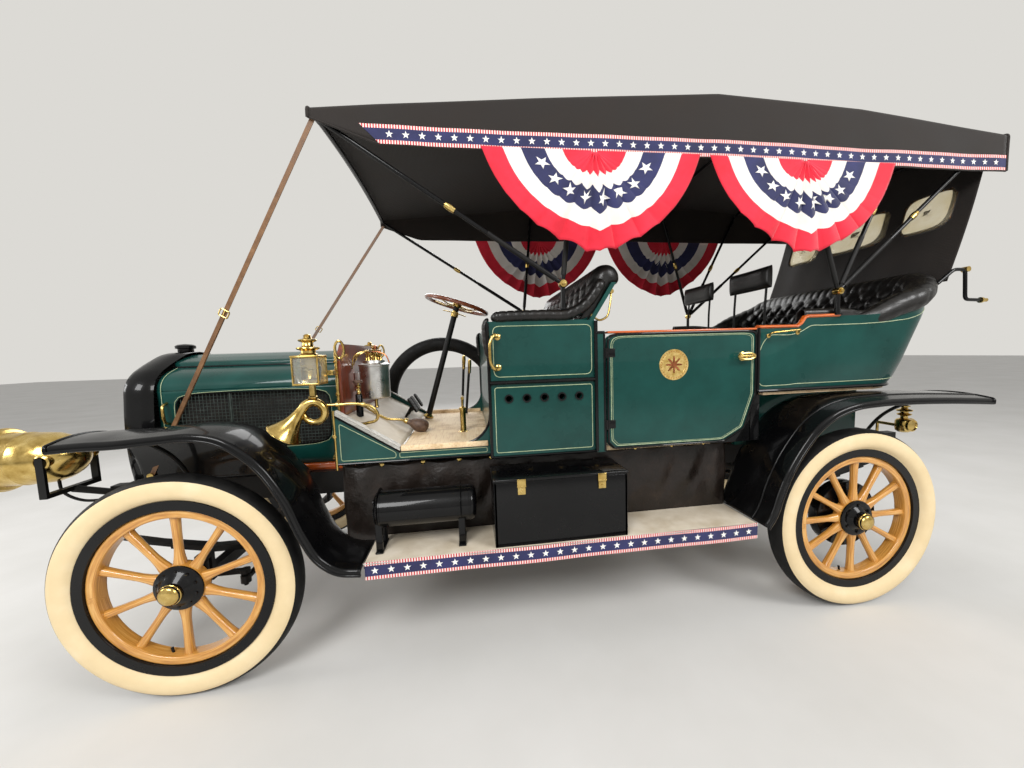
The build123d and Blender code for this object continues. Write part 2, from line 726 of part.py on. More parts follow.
def tool_box():
    front, rear, y = at(box_front), at(box_rear), apron_y + apron_gauge + box_back
    box = block(rear, front, y, box_y, board_top, box_top)
    box -= block(rear + box_wall, front - box_wall, y + box_wall, box_y - box_wall, board_top + box_wall, box_top + 5)
    save("tool_box", box)
    low, back = box_top + touch, y - lid_overhang
    lid = block(rear - lid_overhang, front + lid_overhang, back, box_y + lid_overhang, low, low + lid_gauge)
    # hinge barrels along the lid's inner edge, hasps on its outer edge
    for x in (front - 120, rear + 120):
        lid += rod((x - 30, back, low + lid_gauge / 2), (x + 30, back, low + lid_gauge / 2), lid_gauge / 2)
        lid += block(x - 18, x + 18, box_y + 2, box_y + 8, box_top - 56, low + 8)
    save("tool_box_lid", lid)


def gas_tank():
    tank = rod((at(tank_front), tank_y, tank_z), (at(tank_rear), tank_y, tank_z), tank_radius)
    for station in tank_feet:
        tank += block(at(station + 16), at(station - 16), tank_y - 60, tank_y + 60, board_top, tank_z - 50)
    save("acetylene_tank", tank)


def lamps():
    r = headlamp_radius
    # rows: radius, distance behind the glass rim
    profile = [(0, 10), (r - 20, 10), (r - 14, 0), (r, 0), (r, 26), (r - 16, 44), (trunnion_lamp_radius, 200),
               (trunnion_lamp_radius, 262), (50, 300), (0, headlamp_length)]
    lamp = Pos(at(-front_reach), headlamp_y, headlamp_z) * Rot(0, 0, 90) * turned(profile)
    save("headlamps", both_sides(lamp))
    x, y, z, half = at(side_lamp_station), side_lamp_y, side_lamp_z, side_lamp_size / 2
    body = block(x - half, x + half, y - half, y + half, z, z + 130)
    body += upright(x, y, z + 129, 34, 50) + upright(x, y, z + 178, 22, 46)
    post = at(dash_station) - edge_post
    body += block(post, x - half + 1, dash_half + touch + edge_post, y - half + 14, z + 36, z + 60)
    tail_x = behind(tail_lamp_back)
    tail = upright(tail_x, tail_lamp_y, tail_lamp_z - 55, 36, 110)
    tail += block(tail_x - 8, tail_x + 8, rail_y + rail_width / 2, tail_lamp_y, tail_lamp_z - 40, tail_lamp_z - 24)
    tail += block(tail_x - 8, tail_x + 8, rail_y + rail_width / 2, rail_y + rail_width / 2 + 8, rail_top - 60, tail_lamp_z - 30)
    save("side_and_tail_lamps", both_sides(body) + [tail])


def spare():
    y = seat_half + 12 + front_tyre_width / 2
    x, z = at(985), 1026
    save("spare_tyre", Pos(x, -y, z) * tyre(front_tyre_width))
    low = z - wheel_diameter / 2
    carrier = on_side(-1, x - 150, x + 150, y - 40, y + 40, board_top, low + 40)
    carrier -= Pos(x, -y, z) * Rot(90, 0, 0) * Cylinder(wheel_diameter / 2 + touch, 200)
    save("spare_carrier", carrier)


def steering():
    way = (Vector(*column_head) - Vector(*column_foot)).normalized()
    wheel = Rot(90, 0, 0) * revolve(Pos(rim_radius, 0) * RegularPolygon(rim_tube, 8), Axis.Y)
    for k in range(4):
        wheel += Rot(0, 0, 90 * k) * Rot(0, 90, 0) * Cylinder(8, rim_radius - 8, align=(Align.CENTER, Align.CENTER, Align.MIN))
    wheel += Cylinder(30, 30)
    save("steering_wheel", Plane(origin=column_head, z_dir=way) * wheel)
    column = rod(column_foot, tuple(Vector(*column_head) - way * (15 + touch)), column_radius)
    low = floor_z + 1.5
    levers = [rod((at(1120), driver_y - 170, low), (at(1150), driver_y - 170, 1330), 9),
              rod((at(1150), driver_y - 140, low), (at(1190), driver_y - 140, 1300), 9)]
    save("steering_column", [column] + levers)


def dash_fittings():
    rear = at(dash_station + dash_thickness)
    x = rear - oiler_radius - 30
    oiler = upright(x, oiler_y, 1130, oiler_radius, 176) + upright(x, oiler_y, 1305, oiler_radius - 16, 26)
    oiler += upright(x - 28, oiler_y, 1330, 9, 60) + upright(x + 28, oiler_y, 1330, 9, 74)
    oiler += block(x, rear - touch, oiler_y - 24, oiler_y + 24, 1170, 1270)
    oiler += upright(x, oiler_y, 1075, 10, 60)
    y = dash_half + touch
    post = block(at(dash_station) - edge_post, at(dash_station), y, y + edge_post, rail_top + 32, dash_top - 10)
    pump = upright(at(1137), 200, floor_z + touch, 16, 190) + block(at(1137) - 8, at(1137) + 8, 165, 235, 1100, 1116)
    save("dash_fittings", [oiler, pump] + both_sides(post))


def horn():
    # a coil under the side lamp with a flared bell, and a tube back and down to the toe board
    x, y, z = at(490), side_lamp_y, 1112
    body = Pos(x, y, z) * revolve(Pos(46, 0) * RegularPolygon(17, 8), Axis.Y)
    flare = [(15, 0), (22, 60), (34, 105), (60, 140)]
    bell = loft([Pos(0, 0, reach) * RegularPolygon(radius, 12) for radius, reach in flare], ruled=True)
    body += Pos(x + 46, y, z + 10) * Rot(0, 158, 0) * bell
    body += upright(x, y, z + 40, 14, side_lamp_z - z - 40 - touch)
    loop, foot = 750, 655
    body += bent_rod([(x - 40, y, z + 26), (at(loop), y, z + 26), (at(loop), y - 34, z - 50),
                      (at(foot), y - 50, toe_height(foot) + 10)], 7)
    save("horn", body)
    # the bulb lies at the foot of the toe board, its neck up along the slope
    place = Pos(at(bulb_station), bulb_y, floor_z + bulb_radius + 6) * Rot(0, -20, 0) * Rot(0, 0, -90)
    rows = [(0, -52), (24, -48), (bulb_radius, -16), (bulb_radius, 12), (26, 42), (13, 60), (13, 84), (0, 84)]
    end = dash_station + dash_thickness + touch + 3.5
    neck = (place * Pos(0, 80, 0)).position
    bulb = place * turned(rows) + bent_rod([tuple(neck), (at(720), bulb_y, toe_height(720) + 12),
                                            (at(end), bulb_y, toe_height(end) + 30)], 6)
    save("horn_bulb", bulb)


def roof_at(station):
    # edge height and crown of the roof at a station between the given sections
    for (s0, edge0, crown0, _), (s1, edge1, crown1, _) in zip(canopy_sections, canopy_sections[1:]):
        if s0 <= station <= s1:
            share = (station - s0) / (s1 - s0)
            return edge0 + (edge1 - edge0) * share, crown0 + (crown1 - crown0) * share


def roof_inside(station, y):
    edge, crown = roof_at(station)
    half = canopy_half - top_gauge
    return edge - top_gauge + 0.75 * crown * min(1, 2 * (half - y) / half)


def canopy_face(station, edge, crown, low, inset):
    half = canopy_half - inset
    low -= 5 if inset else 0
    left = [(half, low), (half, edge - inset), (half * 0.5, edge + crown * 0.75 - inset)]
    points = left + [(0, edge + crown - inset)] + [(-y, z) for y, z in left[::-1]]
    return Pos(at(station), 0, 0) * (Plane.YZ * outline(points))


def bow(station, pivot, foot):
    # an iron from its foot and pivot up under the roof, across below its crown, and down to the other side
    x, shoulder, under = at(station), (canopy_half - top_gauge) / 2, iron_radius + 2 * touch
    middle = roof_inside(station, shoulder) + 0.25 * roof_at(station)[1]
    left = [pivot, (x, bow_y, roof_inside(station, bow_y) - under), (x, shoulder, roof_inside(station, shoulder) - under)]
    points = left + [(x, 0, middle - under)] + [(px, -y, z) for px, y, z in left[::-1]]
    posts = both_sides(rod((pivot[0], pivot[1], foot), (pivot[0], pivot[1], pivot[2] + iron_radius), iron_radius + 1))
    return bent_rod(points, iron_radius) + posts


def top():
    skin = loft([canopy_face(*row, 0) for row in canopy_sections], ruled=True)
    skin -= loft([canopy_face(*row, top_gauge) for row in canopy_sections], ruled=True)
    half = bow_y - iron_radius - 3
    high, foot = roof_inside(wheelbase + curtain_top_back, half) - touch, tub_back_top + 95
    low_back = tub_back_high + 76
    curtain = side_polygon([(behind(curtain_top_back), high), (behind(low_back), foot), (behind(low_back - 6), foot),
                            (behind(curtain_top_back - 6), high)], -half, half)
    window = Pos(behind((curtain_top_back + low_back) / 2), 0, (high + foot) / 2 - 20) * Rot(0, 90, 0)
    for y, wide in ((0, 400), (420, 260), (-420, 260)):
        curtain -= window * Pos(0, y, 0) * extrude(RectangleRounded(230, wide, 60), 150, both=True)
    save("canopy", [skin, curtain])
    front_pivot = (at(front_pivot_station), front_pivot_y, front_pivot_z)
    rear_pivot = (rear_axle_x + rear_pivot_ahead, rear_pivot_y, rear_pivot_z)
    sets = []
    for stations, pivot, foot in ((front_bow_stations, front_pivot, seat_top + arm_height + touch),
                                  (rear_bow_stations, rear_pivot, rim_height(rear_pivot[0]) + 2 * touch)):
        irons = bow(stations[0], pivot, foot)
        for station in stations[1:]:
            irons += bow(station, pivot, foot)
        sets.append(irons)
    save("top_irons", sets)


def bunting():
    fans = []
    for station in fan_stations:
        x = at(station)
        rim = [(x + fan_half * cos(pi * k / 12), fan_top - fan_drop * sin(pi * k / 12)) for k in range(13)]
        flat = side_polygon(rim, 0, fan_gauge)
        fans += both_sides(Pos(0, canopy_half + touch, fan_top) * Rot(fan_hang, 0, 0) * Pos(0, 0, -fan_top) * flat)
    save("bunting", fans)


def top_straps():
    # taut straps from the roof's front corners to the rails beside the radiator
    station, edge = canopy_sections[0][0], canopy_sections[0][3]
    start = Vector(at(station + 14), canopy_half - top_gauge - touch - strap_gauge / 2, edge)
    end = Vector(at(-285), rail_y + rail_width / 2 + 16, rail_top + 40)
    way = end - start
    plane = Plane(origin=start, x_dir=way.cross(Vector(0, 1, 0)).normalized(), z_dir=way)
    strap = plane * Box(strap_width, strap_gauge, way.length, align=(Align.CENTER, Align.CENTER, Align.MIN))
    save("top_straps", both_sides(strap))


for make in (wheels, front_axle, knuckles, tie_rod, frame, springs, rear_axle, bonnet, radiator, dash, body_sills,
             front_seat, power_plant, tonneau, jump_seats, doors, fenders, boards, tool_box, gas_tank, lamps, spare, steering,
             dash_fittings, horn, top, bunting, top_straps):
    make()

os.makedirs("parts", exist_ok=True)
for name, shape in parts.items():
    export_step(shape, f"parts/{name}.step")
print(len(parts), "nodes")
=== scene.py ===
from math import atan2, cos, hypot, pi, radians, sin

import bmesh
import bpy
import numpy as np
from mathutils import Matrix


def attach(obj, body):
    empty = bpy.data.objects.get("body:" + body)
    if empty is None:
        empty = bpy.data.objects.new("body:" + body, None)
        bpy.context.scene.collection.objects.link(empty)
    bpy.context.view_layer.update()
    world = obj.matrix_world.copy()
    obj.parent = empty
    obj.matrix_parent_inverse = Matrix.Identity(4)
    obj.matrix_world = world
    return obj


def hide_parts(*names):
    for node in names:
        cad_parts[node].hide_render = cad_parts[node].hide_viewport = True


# A full-size open steam touring car of about 1909, dressed over its CAD frame.
# Sizes are millimetres in the CAD's frame: +X forward, +Y the car's left, +Z up, origin on the ground.
# A station is a distance behind the front axle, "back" a distance behind the rear axle.

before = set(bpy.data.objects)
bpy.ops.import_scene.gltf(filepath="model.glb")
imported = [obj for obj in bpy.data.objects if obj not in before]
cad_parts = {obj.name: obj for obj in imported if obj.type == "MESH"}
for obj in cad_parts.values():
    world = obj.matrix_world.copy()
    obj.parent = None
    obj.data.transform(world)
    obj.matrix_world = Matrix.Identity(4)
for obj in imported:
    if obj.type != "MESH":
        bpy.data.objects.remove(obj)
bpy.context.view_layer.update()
mm = 0.001
frontAxleX, rearAxleX, hubZ, wheelY = 1586, -1513, 457, 711
print("frame loaded,", len(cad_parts), "nodes")


def at(station):
    return frontAxleX - station


def behind(back):
    return rearAxleX - back


# camera, floor and light

studio = {
    "cameraPlace": (0.409, 2.403, 1.348), "cameraTurn": (84.878, 1.767, 171.732), "lens": 13.77,
    "shift": (-0.0123, 0.0035), "floorColour": "#D6D4CF", "backdrop": "#DCDAD5", "ambient": 0.5,
    # place, aimed at, width in metres, watts
    "lamps": [((3.0, 6.0, 5.5), (0.3, 0, 0.9), 3.0, 390), ((-4.5, 5.0, 5.0), (-1.0, 0, 1.2), 2.6, 260),
              ((0.5, -6.0, 5.0), (0, 0, 1.2), 4.0, 230), ((7.0, 0.5, 3.0), (1.2, 0, 0.9), 2.0, 100)],
}


def colour(hexCode):
    # linear RGBA of an sRGB hex value
    srgb = np.array([int(hexCode[i:i + 2], 16) for i in (1, 3, 5)]) / 255
    linear = np.where(srgb <= 0.04045, srgb / 12.92, ((srgb + 0.055) / 1.055) ** 2.4)
    return (*linear.tolist(), 1.0)


def addNode(tree, kind, inputs=None, stops=None, **settings):
    # one node with its settings; an input given as a socket is linked, any other is set
    made = tree.nodes.new("ShaderNode" + kind)
    for name, value in settings.items():
        setattr(made, name, value)
    for name, value in (inputs or {}).items():
        if isinstance(value, bpy.types.NodeSocket):
            tree.links.new(value, made.inputs[name])
        else:
            made.inputs[name].default_value = value
    if stops:
        elements = made.color_ramp.elements
        elements.remove(elements[1])
        elements[0].position, elements[0].color = stops[0][0], colour(stops[0][1])
        for place, hexCode in stops[1:]:
            elements.new(place).color = colour(hexCode)
    return made


def setStudio():
    view = bpy.context.scene.view_settings
    view.view_transform = "Standard"
    camera = bpy.data.objects.new("camera", bpy.data.cameras.new("camera"))
    bpy.context.collection.objects.link(camera)
    camera.location = studio["cameraPlace"]
    camera.rotation_euler = [radians(angle) for angle in studio["cameraTurn"]]
    camera.data.lens = studio["lens"]
    camera.data.shift_x, camera.data.shift_y = studio["shift"]
    camera.data.clip_start = 0.05
    bpy.context.scene.camera = camera

    world = bpy.data.worlds.new("studio")
    bpy.context.scene.world = world
    world.use_nodes = True
    tree = world.node_tree
    tree.nodes.clear()
    # the camera, metal and glass see the pale backdrop; other rays get the plain ambient light
    rays = addNode(tree, "LightPath")
    seen = addNode(tree, "Math", {0: rays.outputs["Is Camera Ray"], 1: rays.outputs["Is Glossy Ray"]},
                   operation="MAXIMUM")
    seen = addNode(tree, "Math", {0: seen.outputs[0], 1: rays.outputs["Is Transmission Ray"]},
                   operation="MAXIMUM")
    ambient = addNode(tree, "Background", {"Color": (1, 1, 1, 1), "Strength": studio["ambient"]})
    backdrop = addNode(tree, "Background", {"Color": colour(studio["backdrop"]), "Strength": 1.0})
    mixed = addNode(tree, "MixShader", {0: seen.outputs[0], 1: ambient.outputs[0], 2: backdrop.outputs[0]})
    addNode(tree, "OutputWorld", {0: mixed.outputs[0]})

    for k, (place, aim, width, watts) in enumerate(studio["lamps"]):
        lamp = bpy.data.lights.new(f"softBox{k}", "AREA")
        lamp.size, lamp.energy = width, watts
        box = bpy.data.objects.new(lamp.name, lamp)
        bpy.context.collection.objects.link(box)
        way = np.array(aim, float) - place
        box.location = place
        box.rotation_euler = (atan2(hypot(way[0], way[1]), -way[2]), 0, atan2(way[1], way[0]) - pi / 2)
        box.visible_camera = False


# shapes as grids of points

def patch(points, across=False, along=False, finish=0, uv=None, keep=None):
    # quads between neighbouring points; across joins the last column to
    # the first, along does so with the rows
    return {"points": np.asarray(points, float), "across": across, "along": along, "finish": finish, "uv": uv,
            "keep": keep}


def unit(vectors):
    vectors = np.asarray(vectors, float)
    return vectors / np.linalg.norm(vectors, axis=-1, keepdims=True)


def grid(*parts):
    # points whose coordinates are given as arrays of any shapes that fit each other
    return np.stack(np.broadcast_arrays(*parts), axis=-1)


def along(rows, value, column=1):
    # straight-line reading of one column of a table whose first column is the place
    rows = np.array(rows, float)
    return np.interp(value, rows[:, 0], rows[:, column])


def travelled(path):
    # length of the path from its start to each of its points
    return np.concatenate([[0], np.cumsum(np.linalg.norm(np.diff(path, axis=0), axis=1))])


def signedPower(value, power):
    # the power of the bare value, with the value's own sign
    return np.sign(value) * np.abs(value) ** power


def standing(outline, y):
    # a flat outline of (x, z) points stood up at one y
    return np.column_stack([outline[:, 0], np.full(len(outline), y), outline[:, 1]])


def ringAt(centre, side, over, count):
    # once round a centre: a circle, or an ellipse where the two directions differ in length
    angle = np.linspace(0, 2 * pi, count, endpoint=False)[:, None]
    return centre + (np.cos(angle) * side + np.sin(angle) * over)


def curveThrough(knots, count, closed=False):
    # a cubic Hermite curve through the knots, its slopes the weighted means of the chords on both sides,
    # read at even steps of the chords' length
    knots = np.array(knots, float)
    if closed:
        knots = np.vstack([knots[-2:], knots, knots[:3]])
    gaps = np.linalg.norm(np.diff(knots, axis=0), axis=1)
    reach = np.concatenate([[0], np.cumsum(gaps)])
    chords = np.diff(knots, axis=0) / gaps[:, None]
    mixed = (chords[:-1] * gaps[1:, None] + chords[1:] * gaps[:-1, None]) / (gaps[1:] + gaps[:-1])[:, None]
    slopes = np.vstack([chords[:1], mixed, chords[-1:]])
    steps = np.linspace(reach[2], reach[-3], count + 1)[:-1] if closed else np.linspace(0, reach[-1], count)
    i = np.clip(np.searchsorted(reach, steps, side="right") - 1, 0, len(gaps) - 1)
    gap, t = gaps[i][:, None], ((steps - reach[i]) / gaps[i])[:, None]
    return ((2 * t ** 3 - 3 * t ** 2 + 1) * knots[i] + (t ** 3 - 2 * t ** 2 + t) * gap * slopes[i]
            + (3 * t ** 2 - 2 * t ** 3) * knots[i + 1] + (t ** 3 - t ** 2) * gap * slopes[i + 1])


def roundedPath(corners, radius, closed=False, steps=6):
    # straight runs whose corners are quadratic curves, from one radius before each corner to one after it
    corners = np.array(corners, float)
    before, after = np.roll(corners, 1, axis=0), np.roll(corners, -1, axis=0)
    t = np.linspace(0, 1, steps)[None, :, None]
    start = corners + unit(before - corners + 1e-9) * radius
    end = corners + unit(after - corners + 1e-9) * radius
    bends = (1 - t) ** 2 * start[:, None] + 2 * t * (1 - t) * corners[:, None] + t ** 2 * end[:, None]
    if closed:
        return bends.reshape(-1, corners.shape[1])
    return np.vstack([corners[:1], bends[1:-1].reshape(-1, corners.shape[1]), corners[-1:]])


def pipe(path, radius, sides=8, up=(0, 0, 1), flat=1.0, closed=False, finish=0):
    # a circle, or an ellipse flat times as high as wide, carried along the path; a point closes open ends
    path = np.asarray(path, float)
    radius = np.broadcast_to(np.asarray(radius, float), len(path))
    if closed:
        way = unit(np.roll(path, -1, axis=0) - np.roll(path, 1, axis=0))
    else:
        way = unit(np.gradient(path, axis=0))
    side = unit(np.cross(way, up))
    over = np.cross(side, way)
    if not closed:
        path, side, over = (np.vstack([rows[:1], rows, rows[-1:]]) for rows in (path, side, over))
        radius = np.concatenate([[0], radius, [0]])
    angle = np.linspace(0, 2 * pi, sides, endpoint=False)[None, :, None]
    points = path[:, None] + radius[:, None,
                                    None] * (np.cos(angle) * side[:, None]
                                             + flat * np.sin(angle) * over[:, None])
    return patch(points, across=True, along=closed, finish=finish)


def turned(rows, centre, axis=(0, 1, 0), steps=48, finish=0, closed=False):
    # rows of (radius, distance along the axis) turned once round the axis
    rows, axis = np.array(rows, float), unit(axis)
    side = unit(np.cross(axis, (0, 0, 1) if abs(axis[2]) < 0.9 else (1, 0, 0)))
    over = np.cross(side, axis)
    angle = np.linspace(0, 2 * pi, steps, endpoint=False)[None, :, None]
    points = (np.array(centre, float) + rows[:, 1, None, None] * axis
              + rows[:, 0, None, None] * (np.cos(angle) * side + np.sin(angle) * over))
    return patch(points, across=True, along=closed, finish=finish)


def block(low, high, edge=2.0, along=0, finish=0):
    # a rounded rectangle carried from end to end, its ends drawn in by a quarter circle and closed by a point
    low, high = np.array(low, float), np.array(high, float)
    a, b = [k for k in range(3) if k != along]
    middle, half = (low + high) / 2, (high - low) / 2
    edge = min(edge, *(half * 0.999))
    quarter = np.linspace(0, pi / 2, 4)
    inset = edge * (1 - np.sin(np.concatenate([quarter, quarter[::-1]])))
    reach = np.concatenate([low[along] + edge * (1 - np.cos(quarter)),
                            high[along] - edge * (1 - np.cos(quarter[::-1]))])
    inset, reach = np.concatenate([[0], inset, [0]]), np.concatenate([low[along:along + 1], reach,
                                                                      high[along:along + 1]])
    shown = np.ones(10)
    shown[[0, -1]] = 0
    angle = np.concatenate([quarter + pi / 2 * k for k in range(4)])
    signA, signB = np.repeat([1, -1, -1, 1], 4), np.repeat([1, 1, -1, -1], 4)
    points = np.zeros((10, 16, 3))
    points[..., along] = reach[:, None]
    for k, sign, turn in ((a, signA, np.cos(angle)), (b, signB, np.sin(angle))):
        points[..., k] = middle[k] + shown[:, None] * (sign * (half[k] - inset[:, None] - edge) + edge * turn)
    return patch(points, across=True, finish=finish)


def mirrored(patches):
    # the same patches on the car's other side
    return [{**item, "points": item["points"] * (1, -1, 1)} for item in patches]


def bothSides(patches):
    return patches + mirrored(patches)


def makePiece(name, patches, finish, body="car", stands=(), slot=None, crease=38, thick=0.0):
    # joins the patches into one mesh: points welded, poles closed, faces turned outwards
    vertices, quads, kinds, cuts, start = [], [], [], [], 0
    for item in patches:
        points = item["points"]
        rows, columns = points.shape[:2]
        index = start + np.arange(rows * columns).reshape(rows, columns)
        if item["along"]:
            index = np.vstack([index, index[:1]])
        if item["across"]:
            index = np.hstack([index, index[:, :1]])
        square = np.stack([index[:-1, :-1], index[:-1, 1:], index[1:, 1:], index[1:, :-1]], axis=-1)
        kind = np.broadcast_to(item["finish"], square.shape[:2])
        if item["keep"] is not None:
            square, kind = square[item["keep"]], kind[item["keep"]]
        vertices.append(points.reshape(-1, 3))
        quads.append(square.reshape(-1, 4))
        kinds.append(kind.reshape(-1))
        cuts.append(np.zeros((rows * columns, 2)) if item["uv"] is None else np.reshape(item["uv"], (-1, 2)))
        start += rows * columns
    vertices, quads, cuts = np.concatenate(vertices), np.concatenate(quads), np.concatenate(cuts)
    mesh = bpy.data.meshes.new(name)
    mesh.from_pydata((vertices * mm).tolist(), [], quads.tolist())
    mesh.polygons.foreach_set("material_index", np.concatenate(kinds).astype(np.int32))
    mesh.uv_layers.new(name="cut").data.foreach_set("uv", cuts[quads].ravel())
    shape = bmesh.new()
    shape.from_mesh(mesh)
    bmesh.ops.remove_doubles(shape, verts=shape.verts, dist=0.00002)
    bmesh.ops.dissolve_degenerate(shape, edges=shape.edges, dist=0.00001)
    bmesh.ops.recalc_face_normals(shape, faces=shape.faces)
    shape.to_mesh(mesh)
    shape.free()
    for one in finish if isinstance(finish, list) else [finish]:
        mesh.materials.append(finishes[one])
    mesh.shade_smooth()
    mesh.set_sharp_from_angle(angle=radians(crease))
    piece = bpy.data.objects.new(name, mesh)
    bpy.context.collection.objects.link(piece)
    if thick:
        wall = piece.modifiers.new("wall", "SOLIDIFY")
        wall.thickness, wall.offset = thick * mm, 0
    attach(piece, body)
    if stands:
        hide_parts(*stands)
    slot = slot or slots[finish]
    return piece


# finishes: what each real material is and what its making gives the eye
# base colour, shader values, then patterns: kind (Noise where none is named), size in mm (one, or one
# per axis), and what it drives: colours (ramp stops), rough (lowest, highest), depth (relief in mm)

